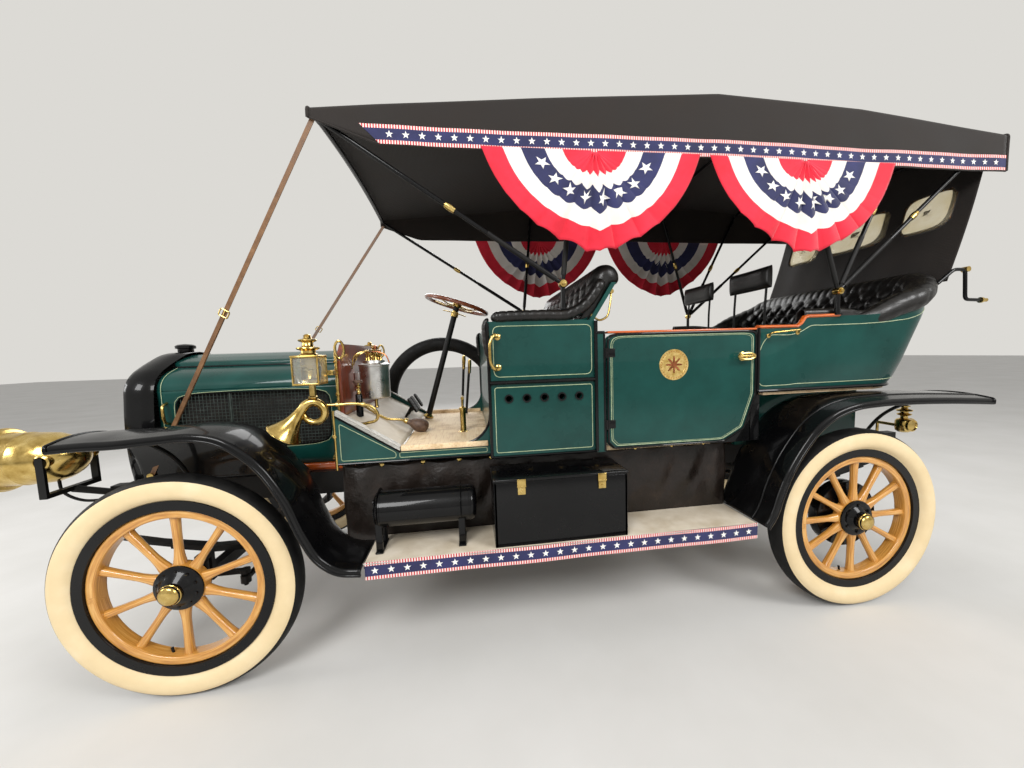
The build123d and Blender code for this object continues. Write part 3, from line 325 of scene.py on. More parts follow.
leatherGrain = {"kind": "Voronoi", "size": 5, "rough": (0.3, 0.5), "depth": 0.35}
weave = [{"kind": "Wave", "size": 3, "depth": 0.3, "bands": "X"},
         {"kind": "Wave", "size": 3, "depth": 0.3, "bands": "Z"}]
orangePeel = {"size": 45, "depth": 0.05}
finishTable = {
    # vulcanised rubber, cream with zinc: dull, faintly mottled, scuffed at a palm's scale
    "creamRubber": ("#E3CDA2", {"Roughness": 0.6, "Specular IOR Level": 0.35}, [
        {"size": 140, "colours": [(0.3, "#DEC79B"), (0.55, "#E4CEA4"), (0.75, "#E9D7B2")],
         "rough": (0.5, 0.75)},
        {"size": 2.5, "depth": 0.15}]),
    # vulcanised rubber, carbon black: dull and dusty, its grain drawn coarser than life so that it shows
    "blackRubber": ("#151413", {"Roughness": 0.6, "Specular IOR Level": 0.2}, [
        {"size": 60, "colours": [(0.35, "#0F0F0F"), (0.6, "#171615"), (0.8, "#23211E")],
         "rough": (0.45, 0.8)},
        {"size": 2.5, "depth": 0.2}]),
    # red-brown bulb rubber, moulded: soft sheen and thumbed spots
    "bulbRubber": ("#5E473B", {"Roughness": 0.5}, [
        {"size": 18, "colours": [(0.35, "#4A352A"), (0.65, "#6E5748")], "rough": (0.4, 0.65)},
        {"size": 1.5, "depth": 0.1}]),
    # hickory, turned and varnished: long grain along each spoke under a clear golden coat
    "varnishedHickory": ("#C98E40", {"Roughness": 0.35, "Coat Weight": 0.8, "Coat Roughness": 0.08}, [
        {"size": (5, 160, 5), "on": "UV", "colours": [(0.3, "#A0641F"), (0.5, "#CA8E3D"), (0.72, "#E6B76C")],
         "rough": (0.3, 0.45), "depth": 0.08}]),
    # mahogany, planed and varnished: red-brown with dark pores along the board
    "varnishedMahogany": ("#7A3218", {"Roughness": 0.35, "Coat Weight": 0.7, "Coat Roughness": 0.1}, [
        {"size": (8, 8, 140), "colours": [(0.3, "#4E1C0E"), (0.55, "#7C351B"), (0.75, "#9C4B27")],
         "rough": (0.3, 0.45), "depth": 0.08}]),
    # mahogany capping, bent and varnished orange: grain along the car
    "orangeMahogany": ("#D2601C", {"Roughness": 0.3, "Coat Weight": 0.9, "Coat Roughness": 0.06}, [
        {"size": (160, 7, 7), "colours": [(0.3, "#A5440F"), (0.55, "#D5631D"), (0.75, "#E98334")],
         "rough": (0.25, 0.4), "depth": 0.06}]),
    # walnut steering rim, turned and polished
    "polishedWalnut": ("#8A4524", {"Roughness": 0.3, "Coat Weight": 0.8, "Coat Roughness": 0.08}, [
        {"size": 16, "colours": [(0.3, "#5B2A14"), (0.6, "#8E4A28"), (0.8, "#AE6A3C")],
         "rough": (0.25, 0.4)}]),
    # maple boards, scrubbed: pale with brown grain and traffic marks
    "scrubbedMaple": ("#E8CCA2", {"Roughness": 0.6}, [
        {"size": (8, 130, 8), "colours": [(0.25, "#CDA878"), (0.5, "#E8CDA4"), (0.75, "#F0DCBA")],
         "rough": (0.5, 0.7), "depth": 0.15},
        {"size": 160, "colours": [(0.3, "#C9B79C"), (0.5, "#FFFFFF")]}]),
    # linoleum, calendered: cream, faint stipple and grey foot wear
    "creamLinoleum": ("#DACDB8", {"Roughness": 0.5}, [
        {"size": 130, "colours": [(0.3, "#C6B79E"), (0.6, "#DCD0BC"), (0.8, "#E4DACA")], "rough": (0.4, 0.6)},
        {"kind": "Voronoi", "size": 6, "depth": 0.2}]),
    # coach varnish over green coach paint: deep, wet gloss with the slightest brush waviness
    "coachGreen": ("#12403B", {"Roughness": 0.3, "Specular IOR Level": 0.1, "Coat Weight": 0.45,
                               "Coat Roughness": 0.03}, [
        {"size": 260, "colours": [(0.3, "#0F3833"), (0.7, "#154842")], "rough": (0.25, 0.35)}, orangePeel]),
    # lining paint, pale green, laid with a striping brush
    "liningPaint": ("#AEBB92", {"Roughness": 0.35, "Coat Weight": 0.6}, [
        {"size": 30, "colours": [(0.3, "#98A77E"), (0.7, "#BDC8A2")]}]),
    # stoved black enamel on sheet: near mirror, faint orange peel and handled dust
    "blackEnamel": ("#080809", {"Roughness": 0.28, "Specular IOR Level": 0.1, "Coat Weight": 0.35,
                                "Coat Roughness": 0.04}, [
        {"size": 200, "colours": [(0.3, "#060607"), (0.7, "#0C0C0D")], "rough": (0.2, 0.35)}, orangePeel]),
    # brushed black chassis paint on forged iron: satin, with brown road dust
    "chassisBlack": ("#121110", {"Roughness": 0.45, "Specular IOR Level": 0.25}, [
        {"size": 90, "colours": [(0.35, "#0D0D0D"), (0.6, "#151413"), (0.8, "#221F1B")],
         "rough": (0.35, 0.65)},
        {"size": 5, "depth": 0.15}]),
    # boiler plate, blacked: rougher, with brown heat bloom
    "blackedPlate": ("#23201D", {"Roughness": 0.6, "Metallic": 0.4}, [
        {"size": 70, "colours": [(0.35, "#1B1918"), (0.65, "#2C2723"), (0.85, "#43352A")],
         "rough": (0.45, 0.75)},
        {"size": 6, "depth": 0.3}]),
    # cast brass, buffed: warm yellow with darker tarnish in cloudy spots and fine wiping marks
    "buffedBrass": ("#CDB06A", {"Metallic": 1.0, "Roughness": 0.2}, [
        {"size": 45, "colours": [(0.3, "#A98B48"), (0.55, "#CFB26C"), (0.8, "#E0C98A")],
         "rough": (0.12, 0.32)},
        {"size": (2, 2, 30), "depth": 0.02}]),
    # nickel plate on drawn sheet: cool white metal, soft wiping haze
    "nickelPlate": ("#D2D1CE", {"Metallic": 1.0, "Roughness": 0.3}, [
        {"size": 50, "colours": [(0.3, "#BDBCB9"), (0.7, "#DDDCDA")], "rough": (0.24, 0.38)}]),
    # drawn copper pipe, handled: pink-brown metal
    "drawnCopper": ("#B8704A", {"Metallic": 1.0, "Roughness": 0.3}, [
        {"size": 20, "colours": [(0.3, "#8E4F30"), (0.7, "#C98058")], "rough": (0.2, 0.4)}]),
    # rolled aluminium tread strip: pale grey metal, brushed along its length
    "rolledAluminium": ("#B4B1AA", {"Metallic": 1.0, "Roughness": 0.4}, [
        {"size": (60, 3, 3), "colours": [(0.3, "#98958F"), (0.7, "#C4C2BC")], "rough": (0.3, 0.5)}]),
    # cowhide, black, buttoned: fine pebble grain, gloss on the rubbed crowns
    "buttonedHide": ("#100E0C", {"Roughness": 0.4, "Specular IOR Level": 0.3, "Coat Weight": 0.25,
                                 "Coat Roughness": 0.25}, [
        {"size": 70, "colours": [(0.3, "#0B0A09"), (0.6, "#13100E"), (0.8, "#211B17")]}, leatherGrain]),
    # harness leather, tan: waxed, darker where it is handled
    "harnessLeather": ("#7A5636", {"Roughness": 0.5}, [
        {"size": 60, "colours": [(0.3, "#573A22"), (0.6, "#7D5938"), (0.8, "#95704C")], "rough": (0.4, 0.6)},
        {"kind": "Voronoi", "size": 2, "depth": 0.15}]),
    # soft apron leather, dressed black over brown: creased, worn brown on its ridges
    "apronLeather": ("#1F1814", {"Roughness": 0.36, "Specular IOR Level": 0.35}, [
        {"size": 110, "colours": [(0.3, "#15110E"), (0.6, "#211A16"), (0.82, "#352A22")],
         "rough": (0.26, 0.45)},
        {"size": 60, "depth": 9.0}, {"kind": "Voronoi", "size": 4, "depth": 0.3}]),
    # rubbered cotton drill: brown-black, matt, a weave drawn at 3 mm so that it shows, dust on its shoulders
    "rubberedDrill": ("#231E1A", {"Roughness": 0.78, "Specular IOR Level": 0.3, "Sheen Weight": 0.12,
                                  "Sheen Roughness": 0.5}, [
        {"size": 320, "colours": [(0.3, "#1D1815"), (0.6, "#26201C"), (0.8, "#312923")],
         "rough": (0.7, 0.85)}] + weave),
    # cotton bunting, dyed and plain woven: matt, with a thread pattern drawn at 3 mm
    "redCotton": ("#E01C35", {"Roughness": 0.8, "Sheen Weight": 0.3, "Sheen Roughness": 0.4}, [
        {"size": 150, "colours": [(0.3, "#D2152D"), (0.7, "#EA2841")]}] + weave),
    "whiteCotton": ("#E9E3DC", {"Roughness": 0.8, "Sheen Weight": 0.2, "Sheen Roughness": 0.4}, [
        {"size": 150, "colours": [(0.3, "#DCD5CE"), (0.7, "#EFEAE4")]}] + weave),
    "navyCotton": ("#24264F", {"Roughness": 0.8, "Sheen Weight": 0.3, "Sheen Roughness": 0.4}, [
        {"size": 150, "colours": [(0.3, "#1C1E42"), (0.7, "#2C2F60")]}] + weave),
    # printed border of the ribbon: red ticks on white every 11 mm
    "tickedRibbon": ("#E4D8D2", {"Roughness": 0.8}, [
        {"kind": "Wave", "size": 11, "on": "UV", "colours": [(0.0, "#E6DAD4"), (0.5, "#C4353C")],
         "crisp": True, "bands": "X"}]),
    # printed stars: flat white print on the cloth
    "starPrint": ("#F1EEE8", {"Roughness": 0.75}, [
        {"size": 40, "colours": [(0.3, "#E4E0DA"), (0.7, "#F6F4EF")]}]),
    # plate glass, ground at its edge: clear, with faint waves
    "plateGlass": ("#F4F6F2", {"Roughness": 0.03, "Transmission Weight": 0.9, "IOR": 1.5}, [
        {"size": 35, "depth": 0.2}]),
    # celluloid window: amber, scuffed, half clear
    "agedCelluloid": ("#E6DCC0", {"Roughness": 0.08, "Transmission Weight": 0.9, "IOR": 1.15}, [
        {"size": 160, "colours": [(0.3, "#DBCDA6"), (0.7, "#EFE7D2")], "rough": (0.04, 0.16), "depth": 0.3}]),
    # black wire, woven: thin japanned steel
    "japannedWire": ("#4A5450", {"Roughness": 0.35, "Metallic": 0.6}, [
        {"size": 30, "colours": [(0.3, "#333B38"), (0.7, "#5C6863")], "rough": (0.3, 0.5)}]),
    # condenser core: thin blacked fins on tubes, 8 mm apart
    "blackedFins": ("#1A1A1A", {"Roughness": 0.5, "Metallic": 0.5}, [
        # the colour bands at the fins' 8 mm pitch are painted light: painted shade in the valleys between the
        # fins, a painted highlight on their edges
        {"kind": "Wave", "size": 8, "colours": [(0.2, "#0C0C0C"), (0.8, "#33312E")], "depth": 2.5,
         "bands": "Z"},
        {"kind": "Wave", "size": 24, "depth": 2.0, "bands": "Y"}]),
    # gold leaf under varnish, as the door's roundel: pale gold, slightly broken
    "goldLeaf": ("#D9B765", {"Metallic": 0.8, "Roughness": 0.35}, [
        {"size": 25, "colours": [(0.3, "#C19A48"), (0.7, "#E8CF8C")], "rough": (0.25, 0.45)}]),
    # painted studio floor
    "studioFloor": (studio["floorColour"], {"Roughness": 0.85}, [
        {"size": 900, "colours": [(0.3, "#D0CEC9"), (0.7, "#DAD8D4")]}]),
}
# what each finish counts as, where a piece names no other slot
slots = {
    "varnishedHickory": "wheel_wood",
    "blackEnamel": "black_enamel",
    "buffedBrass": "brass", "plateGlass": "brass", "nickelPlate": "brass", "drawnCopper": "brass",
    "rubberedDrill": "top_cloth", "agedCelluloid": "top_cloth",
    "harnessLeather": "tan_leather",
    "coachGreen": "green_enamel", "liningPaint": "green_enamel",
    "orangeMahogany": "mahogany",
    "japannedWire": "black_mesh", "blackedFins": "black_mesh",
    "blackedPlate": "black_iron", "chassisBlack": "black_iron",
    "buttonedHide": "black_leather", "apronLeather": "black_leather",
    "creamLinoleum": "board_covering", "rolledAluminium": "board_covering",
    "bulbRubber": "bulb_rubber",
    "polishedWalnut": "wheel_rim_wood",
    "scrubbedMaple": "floor_wood",
}
finishes = {}


def makeFinish(name, base, shader, patterns):
    # patterns lie on Object coordinates, or on the piece's cut (UV) where
    # they follow the surface, both in metres
    finish = bpy.data.materials.new(name)
    finish.use_nodes = True
    tree = finish.node_tree
    surface = tree.nodes["Principled BSDF"]
    surface.inputs["Base Color"].default_value = colour(base)
    for socket, value in shader.items():
        surface.inputs[socket].default_value = value
    place = addNode(tree, "TexCoord")
    painted = relief = None
    for pattern in patterns:
        # a wave's own period is 2 pi / 20 of a unit
        kind = pattern.get("kind", "Noise")
        period = 2 * pi / 20 if kind == "Wave" else 1.0
        scale = [period / (size * mm) for size in np.broadcast_to(pattern["size"], 3)]
        spread = addNode(tree, "Mapping",
                         {"Vector": place.outputs[pattern.get("on", "Object")], "Scale": scale})
        inputs = {"Vector": spread.outputs[0], "Scale": 1.0}
        if kind == "Noise":
            texture = addNode(tree, "TexNoise", {**inputs, "Detail": 4.0, "Roughness": 0.6})
            height = texture.outputs["Fac"]
        elif kind == "Wave":
            texture = addNode(tree, "TexWave", inputs, wave_type="BANDS", bands_direction=pattern["bands"])
            height = texture.outputs["Fac"]
        else:
            height = addNode(tree, "TexVoronoi", inputs).outputs["Distance"]
        if "colours" in pattern:
            tint = addNode(tree, "ValToRGB", {"Fac": height}, stops=pattern["colours"])
            if pattern.get("crisp"):
                tint.color_ramp.interpolation = "CONSTANT"
            if painted:
                tint = addNode(tree, "Mix", {0: 1.0, 6: painted, 7: tint.outputs[0]}, data_type="RGBA",
                               blend_type="MULTIPLY")
            painted = tint.outputs[2 if painted else 0]
            tree.links.new(painted, surface.inputs["Base Color"])
        if "rough" in pattern:
            low, high = pattern["rough"]
            haze = addNode(tree, "MapRange",
                           {"Value": height, "From Min": 0.3, "From Max": 0.7, "To Min": low, "To Max": high})
            tree.links.new(haze.outputs[0], surface.inputs["Roughness"])
        if "depth" in pattern:
            bump = {"Height": height, "Distance": pattern["depth"] * mm, "Strength": 0.8}
            if relief:
                bump["Normal"] = relief
            relief = addNode(tree, "Bump", bump).outputs[0]
            tree.links.new(relief, surface.inputs["Normal"])
    return finish


for name, (base, shader, patterns) in finishTable.items():
    finishes[name] = makeFinish(name, base, shader, patterns)
print("finishes made:", len(finishes))

# the finish of each CAD node that stays, and of those whose piece is still to come
nodeFinishes = {
    "chassisBlack": ("frame", "front_axle", "knuckle_left", "knuckle_right", "tie_rod", "rear_axle",
                     "springs", "body_sills", "spare_carrier", "steering_column", "top_irons"),
    "blackedPlate": ("engine", "steam_generator"),
    "coachGreen": ("front_seat_box", "front_sills", "boot", "pillars", "bonnet", "tonneau_shell", "door_left",
                   "door_right"),
    "blackEnamel": ("acetylene_tank", "front_fenders", "rear_fenders", "radiator_shell", "tool_box",
                    "tool_box_lid", "wheel_iron_front_left", "wheel_iron_front_right",
                    "wheel_iron_rear_left", "wheel_iron_rear_right"),
    "varnishedMahogany": ("dash",),
    "scrubbedMaple": ("front_floor", "tonneau_floor"),
    "blackedFins": ("radiator_core",),
    "japannedWire": ("bonnet_mesh",),
    "creamLinoleum": ("running_boards",),
    "apronLeather": ("splash_aprons",),
    "buffedBrass": ("dash_fittings", "headlamps", "side_and_tail_lamps", "horn"),
    "polishedWalnut": ("steering_wheel",),
    "buttonedHide": ("front_seat_back", "rear_seat_back", "seat_cushions", "jump_seats"),
    "bulbRubber": ("horn_bulb",),
    "rubberedDrill": ("canopy",),
    "redCotton": ("bunting",),
    "harnessLeather": ("top_straps",),
    "creamRubber": ("tyre_front_left", "tyre_front_right", "tyre_rear_left", "tyre_rear_right", "spare_tyre"),
    "varnishedHickory": ("wood_wheel_front_left", "wood_wheel_front_right", "wood_wheel_rear_left",
                         "wood_wheel_rear_right"),
}
for finishName, nodes in nodeFinishes.items():
    for node in nodes:
        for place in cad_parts[node].material_slots:
            place.material = finishes[finishName]

setStudio()
floor = bpy.data.meshes.new("studioFloor")
floor.from_pydata([(-40, -40, 0), (40, -40, 0), (40, 40, 0), (-40, 40, 0)], [], [(0, 1, 2, 3)])
floor.materials.append(finishes["studioFloor"])
floor = bpy.data.objects.new("studioFloor", floor)
bpy.context.collection.objects.link(floor)


# wheels

wheelForm = {
    "tyreWidth": {"front": 102, "rear": 127}, "spokes": {"front": 10, "rear": 12}, "treadFrom": 437,
    # radius, share of the half width
    "tyre": [(356, 0.10), (356, 0.50), (363, 0.66), (381, 0.92), (404, 1.0), (426, 0.95), (443, 0.76),
             (453, 0.48), (457, 0.14)],
    # spoke: distance from the hub, width, depth
    "spoke": [(80, 46, 38), (98, 44, 38), (118, 34, 35), (152, 27, 32), (220, 28, 32), (270, 31, 34),
              (297, 37, 38)],
    "felloe": (288, 322, 30), "rim": (321, 357, 38), "bolts": 70,
}


def tyrePatches(centre, width):
    half = np.array(wheelForm["tyre"]) * (1, width / 2)
    rows = curveThrough(np.vstack([half, (half * (1, -1))[::-1]]), 44, closed=True)
    tread = (rows[:, 0] > wheelForm["treadFrom"]).astype(int)[:, None]
    return [turned(rows, centre, steps=96, finish=tread, closed=True)]


def spokePatches(centre, count):
    # a superellipse whose width and depth follow the table, set out along each spoke's own radius
    reach = np.linspace(wheelForm["spoke"][0][0], wheelForm["spoke"][-1][0], 20)
    width, depth = (along(wheelForm["spoke"], reach, k)[:, None] / 2 for k in (1, 2))
    angle = np.linspace(0, 2 * pi, 17)[None, :]
    across = width * signedPower(np.cos(angle), 0.75)
    deep = depth * signedPower(np.sin(angle), 0.75)
    cut = grid(angle / (2 * pi) * 0.1, reach[:, None] * mm)
    made = []
    for k in range(count):
        turn = 2 * pi / count * k
        points = np.stack([reach[:, None] * sin(turn) + across * cos(turn), deep,
                           reach[:, None] * cos(turn) - across * sin(turn)], axis=-1)
        made.append(patch(points + centre, uv=cut + (0.13 * k, 0.37 * k)))
    return made


def ringRows(inner, outer, half, edge):
    # a ring's closed cross-section with rounded corners, as (radius, along the axle)
    return roundedPath([(inner, -half), (outer, -half), (outer, half), (inner, half)], edge, closed=True)


def cutRound(item, radius):
    # lays a turned patch flat for its grain: round the wheel, then across
    rows, columns = item["points"].shape[:2]
    turn, row = np.meshgrid(np.linspace(0, 2 * pi, columns) * radius * mm, np.linspace(0, 0.12, rows))
    return {**item, "uv": np.stack([row, turn], axis=-1)}


def makeWheel(end, side, sign):
    x = frontAxleX if end == "front" else rearAxleX
    centre, body = np.array((x, wheelY, hubZ)), f"wheel_{end}_{side}"
    tag = end.title() + side.title()
    sided = (lambda patches: patches) if sign > 0 else mirrored
    makePiece(f"tyre{tag}", sided(tyrePatches(centre, wheelForm["tyreWidth"][end])),
              ["creamRubber", "blackRubber"], body, [f"tyre_{end}_{side}"], "tyre_rubber")
    inner, outer, half = wheelForm["felloe"]
    wood = [cutRound(turned(ringRows(inner, outer, half, 8), centre, steps=72, closed=True), 300)]
    wood += [turned([(46, -19), (93, -19), (93, 19), (46, 19)], centre, steps=36, closed=True)]
    wood += spokePatches(centre, wheelForm["spokes"][end])
    makePiece(f"woodWheel{tag}", sided(wood), "varnishedHickory", body, [f"wood_wheel_{end}_{side}"])
    inner, outer, half = wheelForm["rim"]
    rim = [(inner, -half + 8), (inner - 1, 0), (inner, half - 8), (inner + 2, half), (outer + 4, half),
           (outer + 5, half - 5), (outer, half - 8), (outer - 12, 0), (outer, -half + 8),
           (outer + 5, -half + 5), (outer + 4, -half), (inner + 2, -half)]
    iron = [turned(rim, centre, steps=96, closed=True)]
    reach = 54 if end == "front" else 40
    hub = [(0, 18), (88, 18), (91, 21), (90, 27), (84, 30), (74, 32), (62, reach - 10), (50, reach),
           (41, reach + 6), (39, 82), (0, 82)]
    iron += [turned(hub, centre, steps=48),
             turned([(0, -19), (90, -19), (90, -28), (46, -32), (46, -54), (0, -54)], centre)]
    if end == "rear":
        iron += [turned([(40, -29), (168, -29), (171, -33), (171, -86), (168, -90), (40, -90)], centre,
                        steps=64)]
    bolts = 6 if end == "rear" else 10
    for k in range(bolts):
        turn = 2 * pi * (k + 0.5) / bolts
        spot = centre + np.array((cos(turn), 0, sin(turn))) * wheelForm["bolts"] + (0, 29, 0)
        iron += [turned([(0, 0), (8, 0), (8, 6), (6, 9), (0, 9)], spot, steps=6)]
    # tyre valve through the felloe
    iron += [turned([(0, 0), (5, 0), (5, 30), (0, 30)], centre + (60, 0, -290), axis=(0.2, 0, 1), steps=10)]
    makePiece(f"wheelIron{tag}", sided(iron), "blackEnamel", body, [f"wheel_iron_{end}_{side}"])
    cap = [(0, 66), (41, 66), (42, 70), (42, 74), (38, 77), (36, 84), (30, 89), (14, 92), (0, 92)]
    makePiece(f"hubCap{tag}", sided([turned(cap, centre, steps=32)]), "buffedBrass", body)


for end in ("front", "rear"):
    for side, sign in (("left", 1), ("right", -1)):
        makeWheel(end, side, sign)

spareForm = {"centre": (601, -699, 1026), "width": 102}
spare = tyrePatches(np.array(spareForm["centre"]), spareForm["width"])
makePiece("spareTyre", spare, ["blackRubber", "blackRubber"], stands=["spare_tyre"], slot="tyre_rubber")
print("wheels made")


# folding top, its ribbon and bunting

topForm = {
    "half": 674, "shoulder": 16, "sag": 3, "bows": (596, 1702, 2754, 3403, 3962), "gauge": 3,
    # station, height of the roof's edge, rise of its crown, lower edge
    "sections": [(596, 2334, 36, 2296), (860, 2362, 46, 2206), (1500, 2420, 60, 2203), (2350, 2488, 64, 2212),
                 (3100, 2462, 56, 2203), (3962, 2383, 38, 2203)],
}


def roofPoint(station, share):
    # share 0 is the lower edge, 0.22 the foot of the shoulder, 0.36 its top, 1 the crown on the centreline.
    # straight side, a quadratic curve round the shoulder, then a parabola over to the middle
    edge, crown, low = (along(topForm["sections"], station, k) for k in (1, 2, 3))
    half, bend = topForm["half"], topForm["shoulder"]
    roof = lambda y: edge + crown * (1 - (y / half) ** 2)
    side = np.clip(share / 0.22, 0, 1)
    turn = np.clip((share - 0.22) / 0.14, 0, 1)
    over = np.clip((share - 0.36) / 0.64, 0, 1)
    y = half - bend * turn ** 2 - (half - bend) * over
    z = np.where(over > 0, roof(y), (1 - turn) ** 2 * (edge - bend) + 2 * turn * (1 - turn) * edge
                 + turn ** 2 * roof(half - bend))
    z = np.where(share < 0.22, low + (edge - bend - low) * side, z)
    # between the bows the cloth sags and draws in at its sides
    bows = np.array(topForm["bows"])
    phase = np.interp(station, bows, np.arange(len(bows)))
    slack = np.sin(pi * phase) ** 2
    z = z - topForm["sag"] * slack * np.clip((share - 0.2) / 0.3, 0, 1)
    y = y - 6 * slack * np.clip(1 - share / 0.3, 0, 1)
    ripple = 1.6 * np.sin(station / 47 + 9 * share) * np.clip(1 - share / 0.22, 0, 1)
    return grid(frontAxleX - station, y + ripple, z)


def makeTop():
    station = np.linspace(topForm["bows"][0], topForm["bows"][-1], 110)[:, None]
    share = np.concatenate([np.linspace(0, 0.22, 7), np.linspace(0.24, 0.36, 7),
                            np.linspace(0.4, 1, 16)])[None, :]
    half = roofPoint(station, share)
    cloth = np.concatenate([half, (half * (1, -1, 1))[:, -2::-1]], axis=1)
    top = makePiece("topCloth", [patch(cloth)], "rubberedDrill", stands=["canopy"], thick=topForm["gauge"])
    hems = [pipe(cloth[0], 8, 8, up=(1, 0, 0.2)), pipe(cloth[-1], 8, 8, up=(1, 0, 0.2))]
    hems += bothSides([pipe(cloth[:, 0], 4.5, 6)])
    makePiece("topHems", hems, "rubberedDrill", stands=["canopy"])


curtainForm = {"top": (-2336, 2380), "foot": (-2117, 1655), "half": 634, "crown": 38,
               # windows: middle across, half width, half height, middle up the curtain
               "windows": [(0, 205, 116, 0.588), (418, 132, 116, 0.588), (-418, 132, 116, 0.588)]}


def curtainPoint(across, up, proud=0.0):
    # a plane leaned back from the tub's rim to the last bow, bellied 14 mm and softly rippled across; its top
    # tenth is drawn up to the parabola of the roof
    (topX, topZ), (footX, footZ) = curtainForm["top"], curtainForm["foot"]
    length = hypot(topX - footX, topZ - footZ)
    out = -14 * np.sin(pi * up) + 2.2 * np.sin(across / 38) * np.sin(pi * up) - proud
    x = footX + (topX - footX) * up + out * (topZ - footZ) / length
    z = footZ + (topZ - footZ) * up + out * (footX - topX) / length
    z = z + curtainForm["crown"] * (1 - (across / topForm["half"]) ** 2) * np.clip(up * 7 - 6, 0, 1)
    return grid(x, across, z)


def makeCurtain():
    across = np.linspace(-curtainForm["half"], curtainForm["half"], 121)[None, :]
    up = np.linspace(0, 1, 65)[:, None]
    height = hypot(curtainForm["top"][0] - curtainForm["foot"][0],
                   curtainForm["top"][1] - curtainForm["foot"][1])
    middleAcross, middleUp = (across[:, 1:] + across[:, :-1]) / 2, (up[1:] + up[:-1]) / 2
    cloth = np.ones((64, 120), bool)
    borders, panes = [], []
    for middle, halfWide, halfHigh, rise in curtainForm["windows"]:
        # a superellipse of the fourth power round each window
        inside = np.abs((middleAcross - middle) / halfWide) ** 4 + np.abs((middleUp
                                                                           - rise) * height / halfHigh) ** 4
        cloth &= inside > 1
        angle = np.linspace(0, 2 * pi, 64, endpoint=False)
        c, s = np.cos(angle), np.sin(angle)
        swell = (np.abs(c) ** 4 + np.abs(s) ** 4) ** -0.25
        ring = lambda grow, scale=1.0: (middle + (halfWide * scale + grow) * c * swell,
                                        rise + (halfHigh * scale + grow) * s * swell / height)
        rows = np.stack([curtainPoint(*ring(grow), proud) for grow,
                         proud in ((-9, 1), (-8, 4), (12, 4), (13, 1))])
        borders.append(patch(rows, across=True))
        panes.append(patch(np.stack([curtainPoint(*ring(-2 * scale, scale), 0.5)
                                     for scale in (1, 0.67, 0.33, 0.01)]), across=True))
    curtain = makePiece("rearCurtain", [patch(curtainPoint(across, up), keep=cloth)], "rubberedDrill",
                        stands=["canopy"], thick=2.5)
    makePiece("curtainBindings", borders, "harnessLeather", thick=1.5)
    makePiece("curtainWindows", panes, "agedCelluloid", thick=0.8)


def starPatch(surface, middleU, middleV, radius, turn, finish, lift):
    # a five-pointed star drawn on a surface of two parameters that are both in millimetres
    angle = np.linspace(0, 2 * pi, 10, endpoint=False) + turn
    reach = np.where(np.arange(10) % 2 == 0, 1.0, 0.4) * radius
    share = np.array([0.0, 0.5, 1.0])[:, None]
    return patch(surface(middleU + share * reach * np.cos(angle), middleV + share * reach * np.sin(angle),
                         lift), across=True, finish=finish)


ribbonForm = {"height": 75, "border": 15, "pitch": 65, "star": 16}


def topRibbonPoint(station, up, lift=0.0):
    # hangs on the top's lower edge; its front end is cut along the slanting edge
    low = along(topForm["sections"], np.maximum(station, 860), 3) + 1
    half = roofPoint(np.maximum(station, 600), 0.05)[..., 1]
    return grid(frontAxleX - station, half + 3.4 + lift, low + up)


def makeRibbon(name, surface, start, end, slant):
    height, border = ribbonForm["height"], ribbonForm["border"]
    up = np.array([0, 8, 15, 30, 45, 60, 67, 75])[:, None]
    first = start - slant * up / height
    run = first + (end - first) * np.linspace(0, 1, 120)[None, :]
    band = np.where((up[:-1] >= border) & (up[:-1] < height - border), 1, 0)
    cut = grid(run * mm, up * mm)
    patches = [patch(surface(run, up), finish=band, uv=cut)]
    for middle in np.arange(start + 40, end - 20, ribbonForm["pitch"]):
        patches.append(starPatch(surface, middle, height / 2, ribbonForm["star"], pi / 2, 2, 0.9))
    return makePiece(name, bothSides(patches), ["tickedRibbon", "navyCotton", "starPrint"],
                     slot="bunting_cloth")


fanForm = {"stations": (1762, 2795), "top": 2213, "half": 495, "drop": 455, "y": 680, "hang": 0.02,
           "pleats": 7, "depth": 34,
           # outer share of the radius, finish: centre outwards
           "bands": [(0.29, 0), (0.45, 1), (0.65, 2), (0.815, 1), (1.0, 0)],
           "stars": [(0.53, 16), (0.53, 38), (0.535, 58), (0.54, 77), (0.54, 96), (0.535, 117), (0.53, 138),
                     (0.53, 162)], "star": 36}


def fanPoint(centre, share, turn, lift=0.0):
    # half an ellipse below a straight top, drawn in on its slants; seven
    # pleats gather round the middle under a
    # bell-shaped weight, each a rounded crest with a narrow valley, and carry the printed bands up and down
    gather = np.exp(-((turn - pi / 2) / 0.62) ** 2)
    phase = 2 * fanForm["pleats"] * (turn - pi / 2 + 0.12 * np.sin(2 * turn)) + centre / 300
    crest = np.abs(np.cos(phase)) ** 0.55
    soft = 0.5 + 0.5 * np.cos(5 * turn + centre / 200)
    fold = fanForm["depth"] * (gather * crest * (0.35 + 0.65 * share) + 0.3 * soft * share * (1 - gather))
    kink = (0.13 - 0.12 * crest) * gather * share * (1 - share) * 4
    slant = 1 - 0.105 * np.abs(np.sin(2 * turn)) ** 0.7
    reach = share * slant * (1 - 0.04 * gather * crest) - kink
    drop = fanForm["drop"] * reach * np.sin(turn)
    x = frontAxleX - centre + fanForm["half"] * (reach * np.cos(turn) + 0.012 * gather * np.sin(2 * phase))
    belly = 12 * np.sin(pi * np.clip(drop / fanForm["drop"], 0, 1))
    y = fanForm["y"] + fanForm["hang"] * drop + fold + belly + lift
    return grid(x, y, fanForm["top"] - drop)


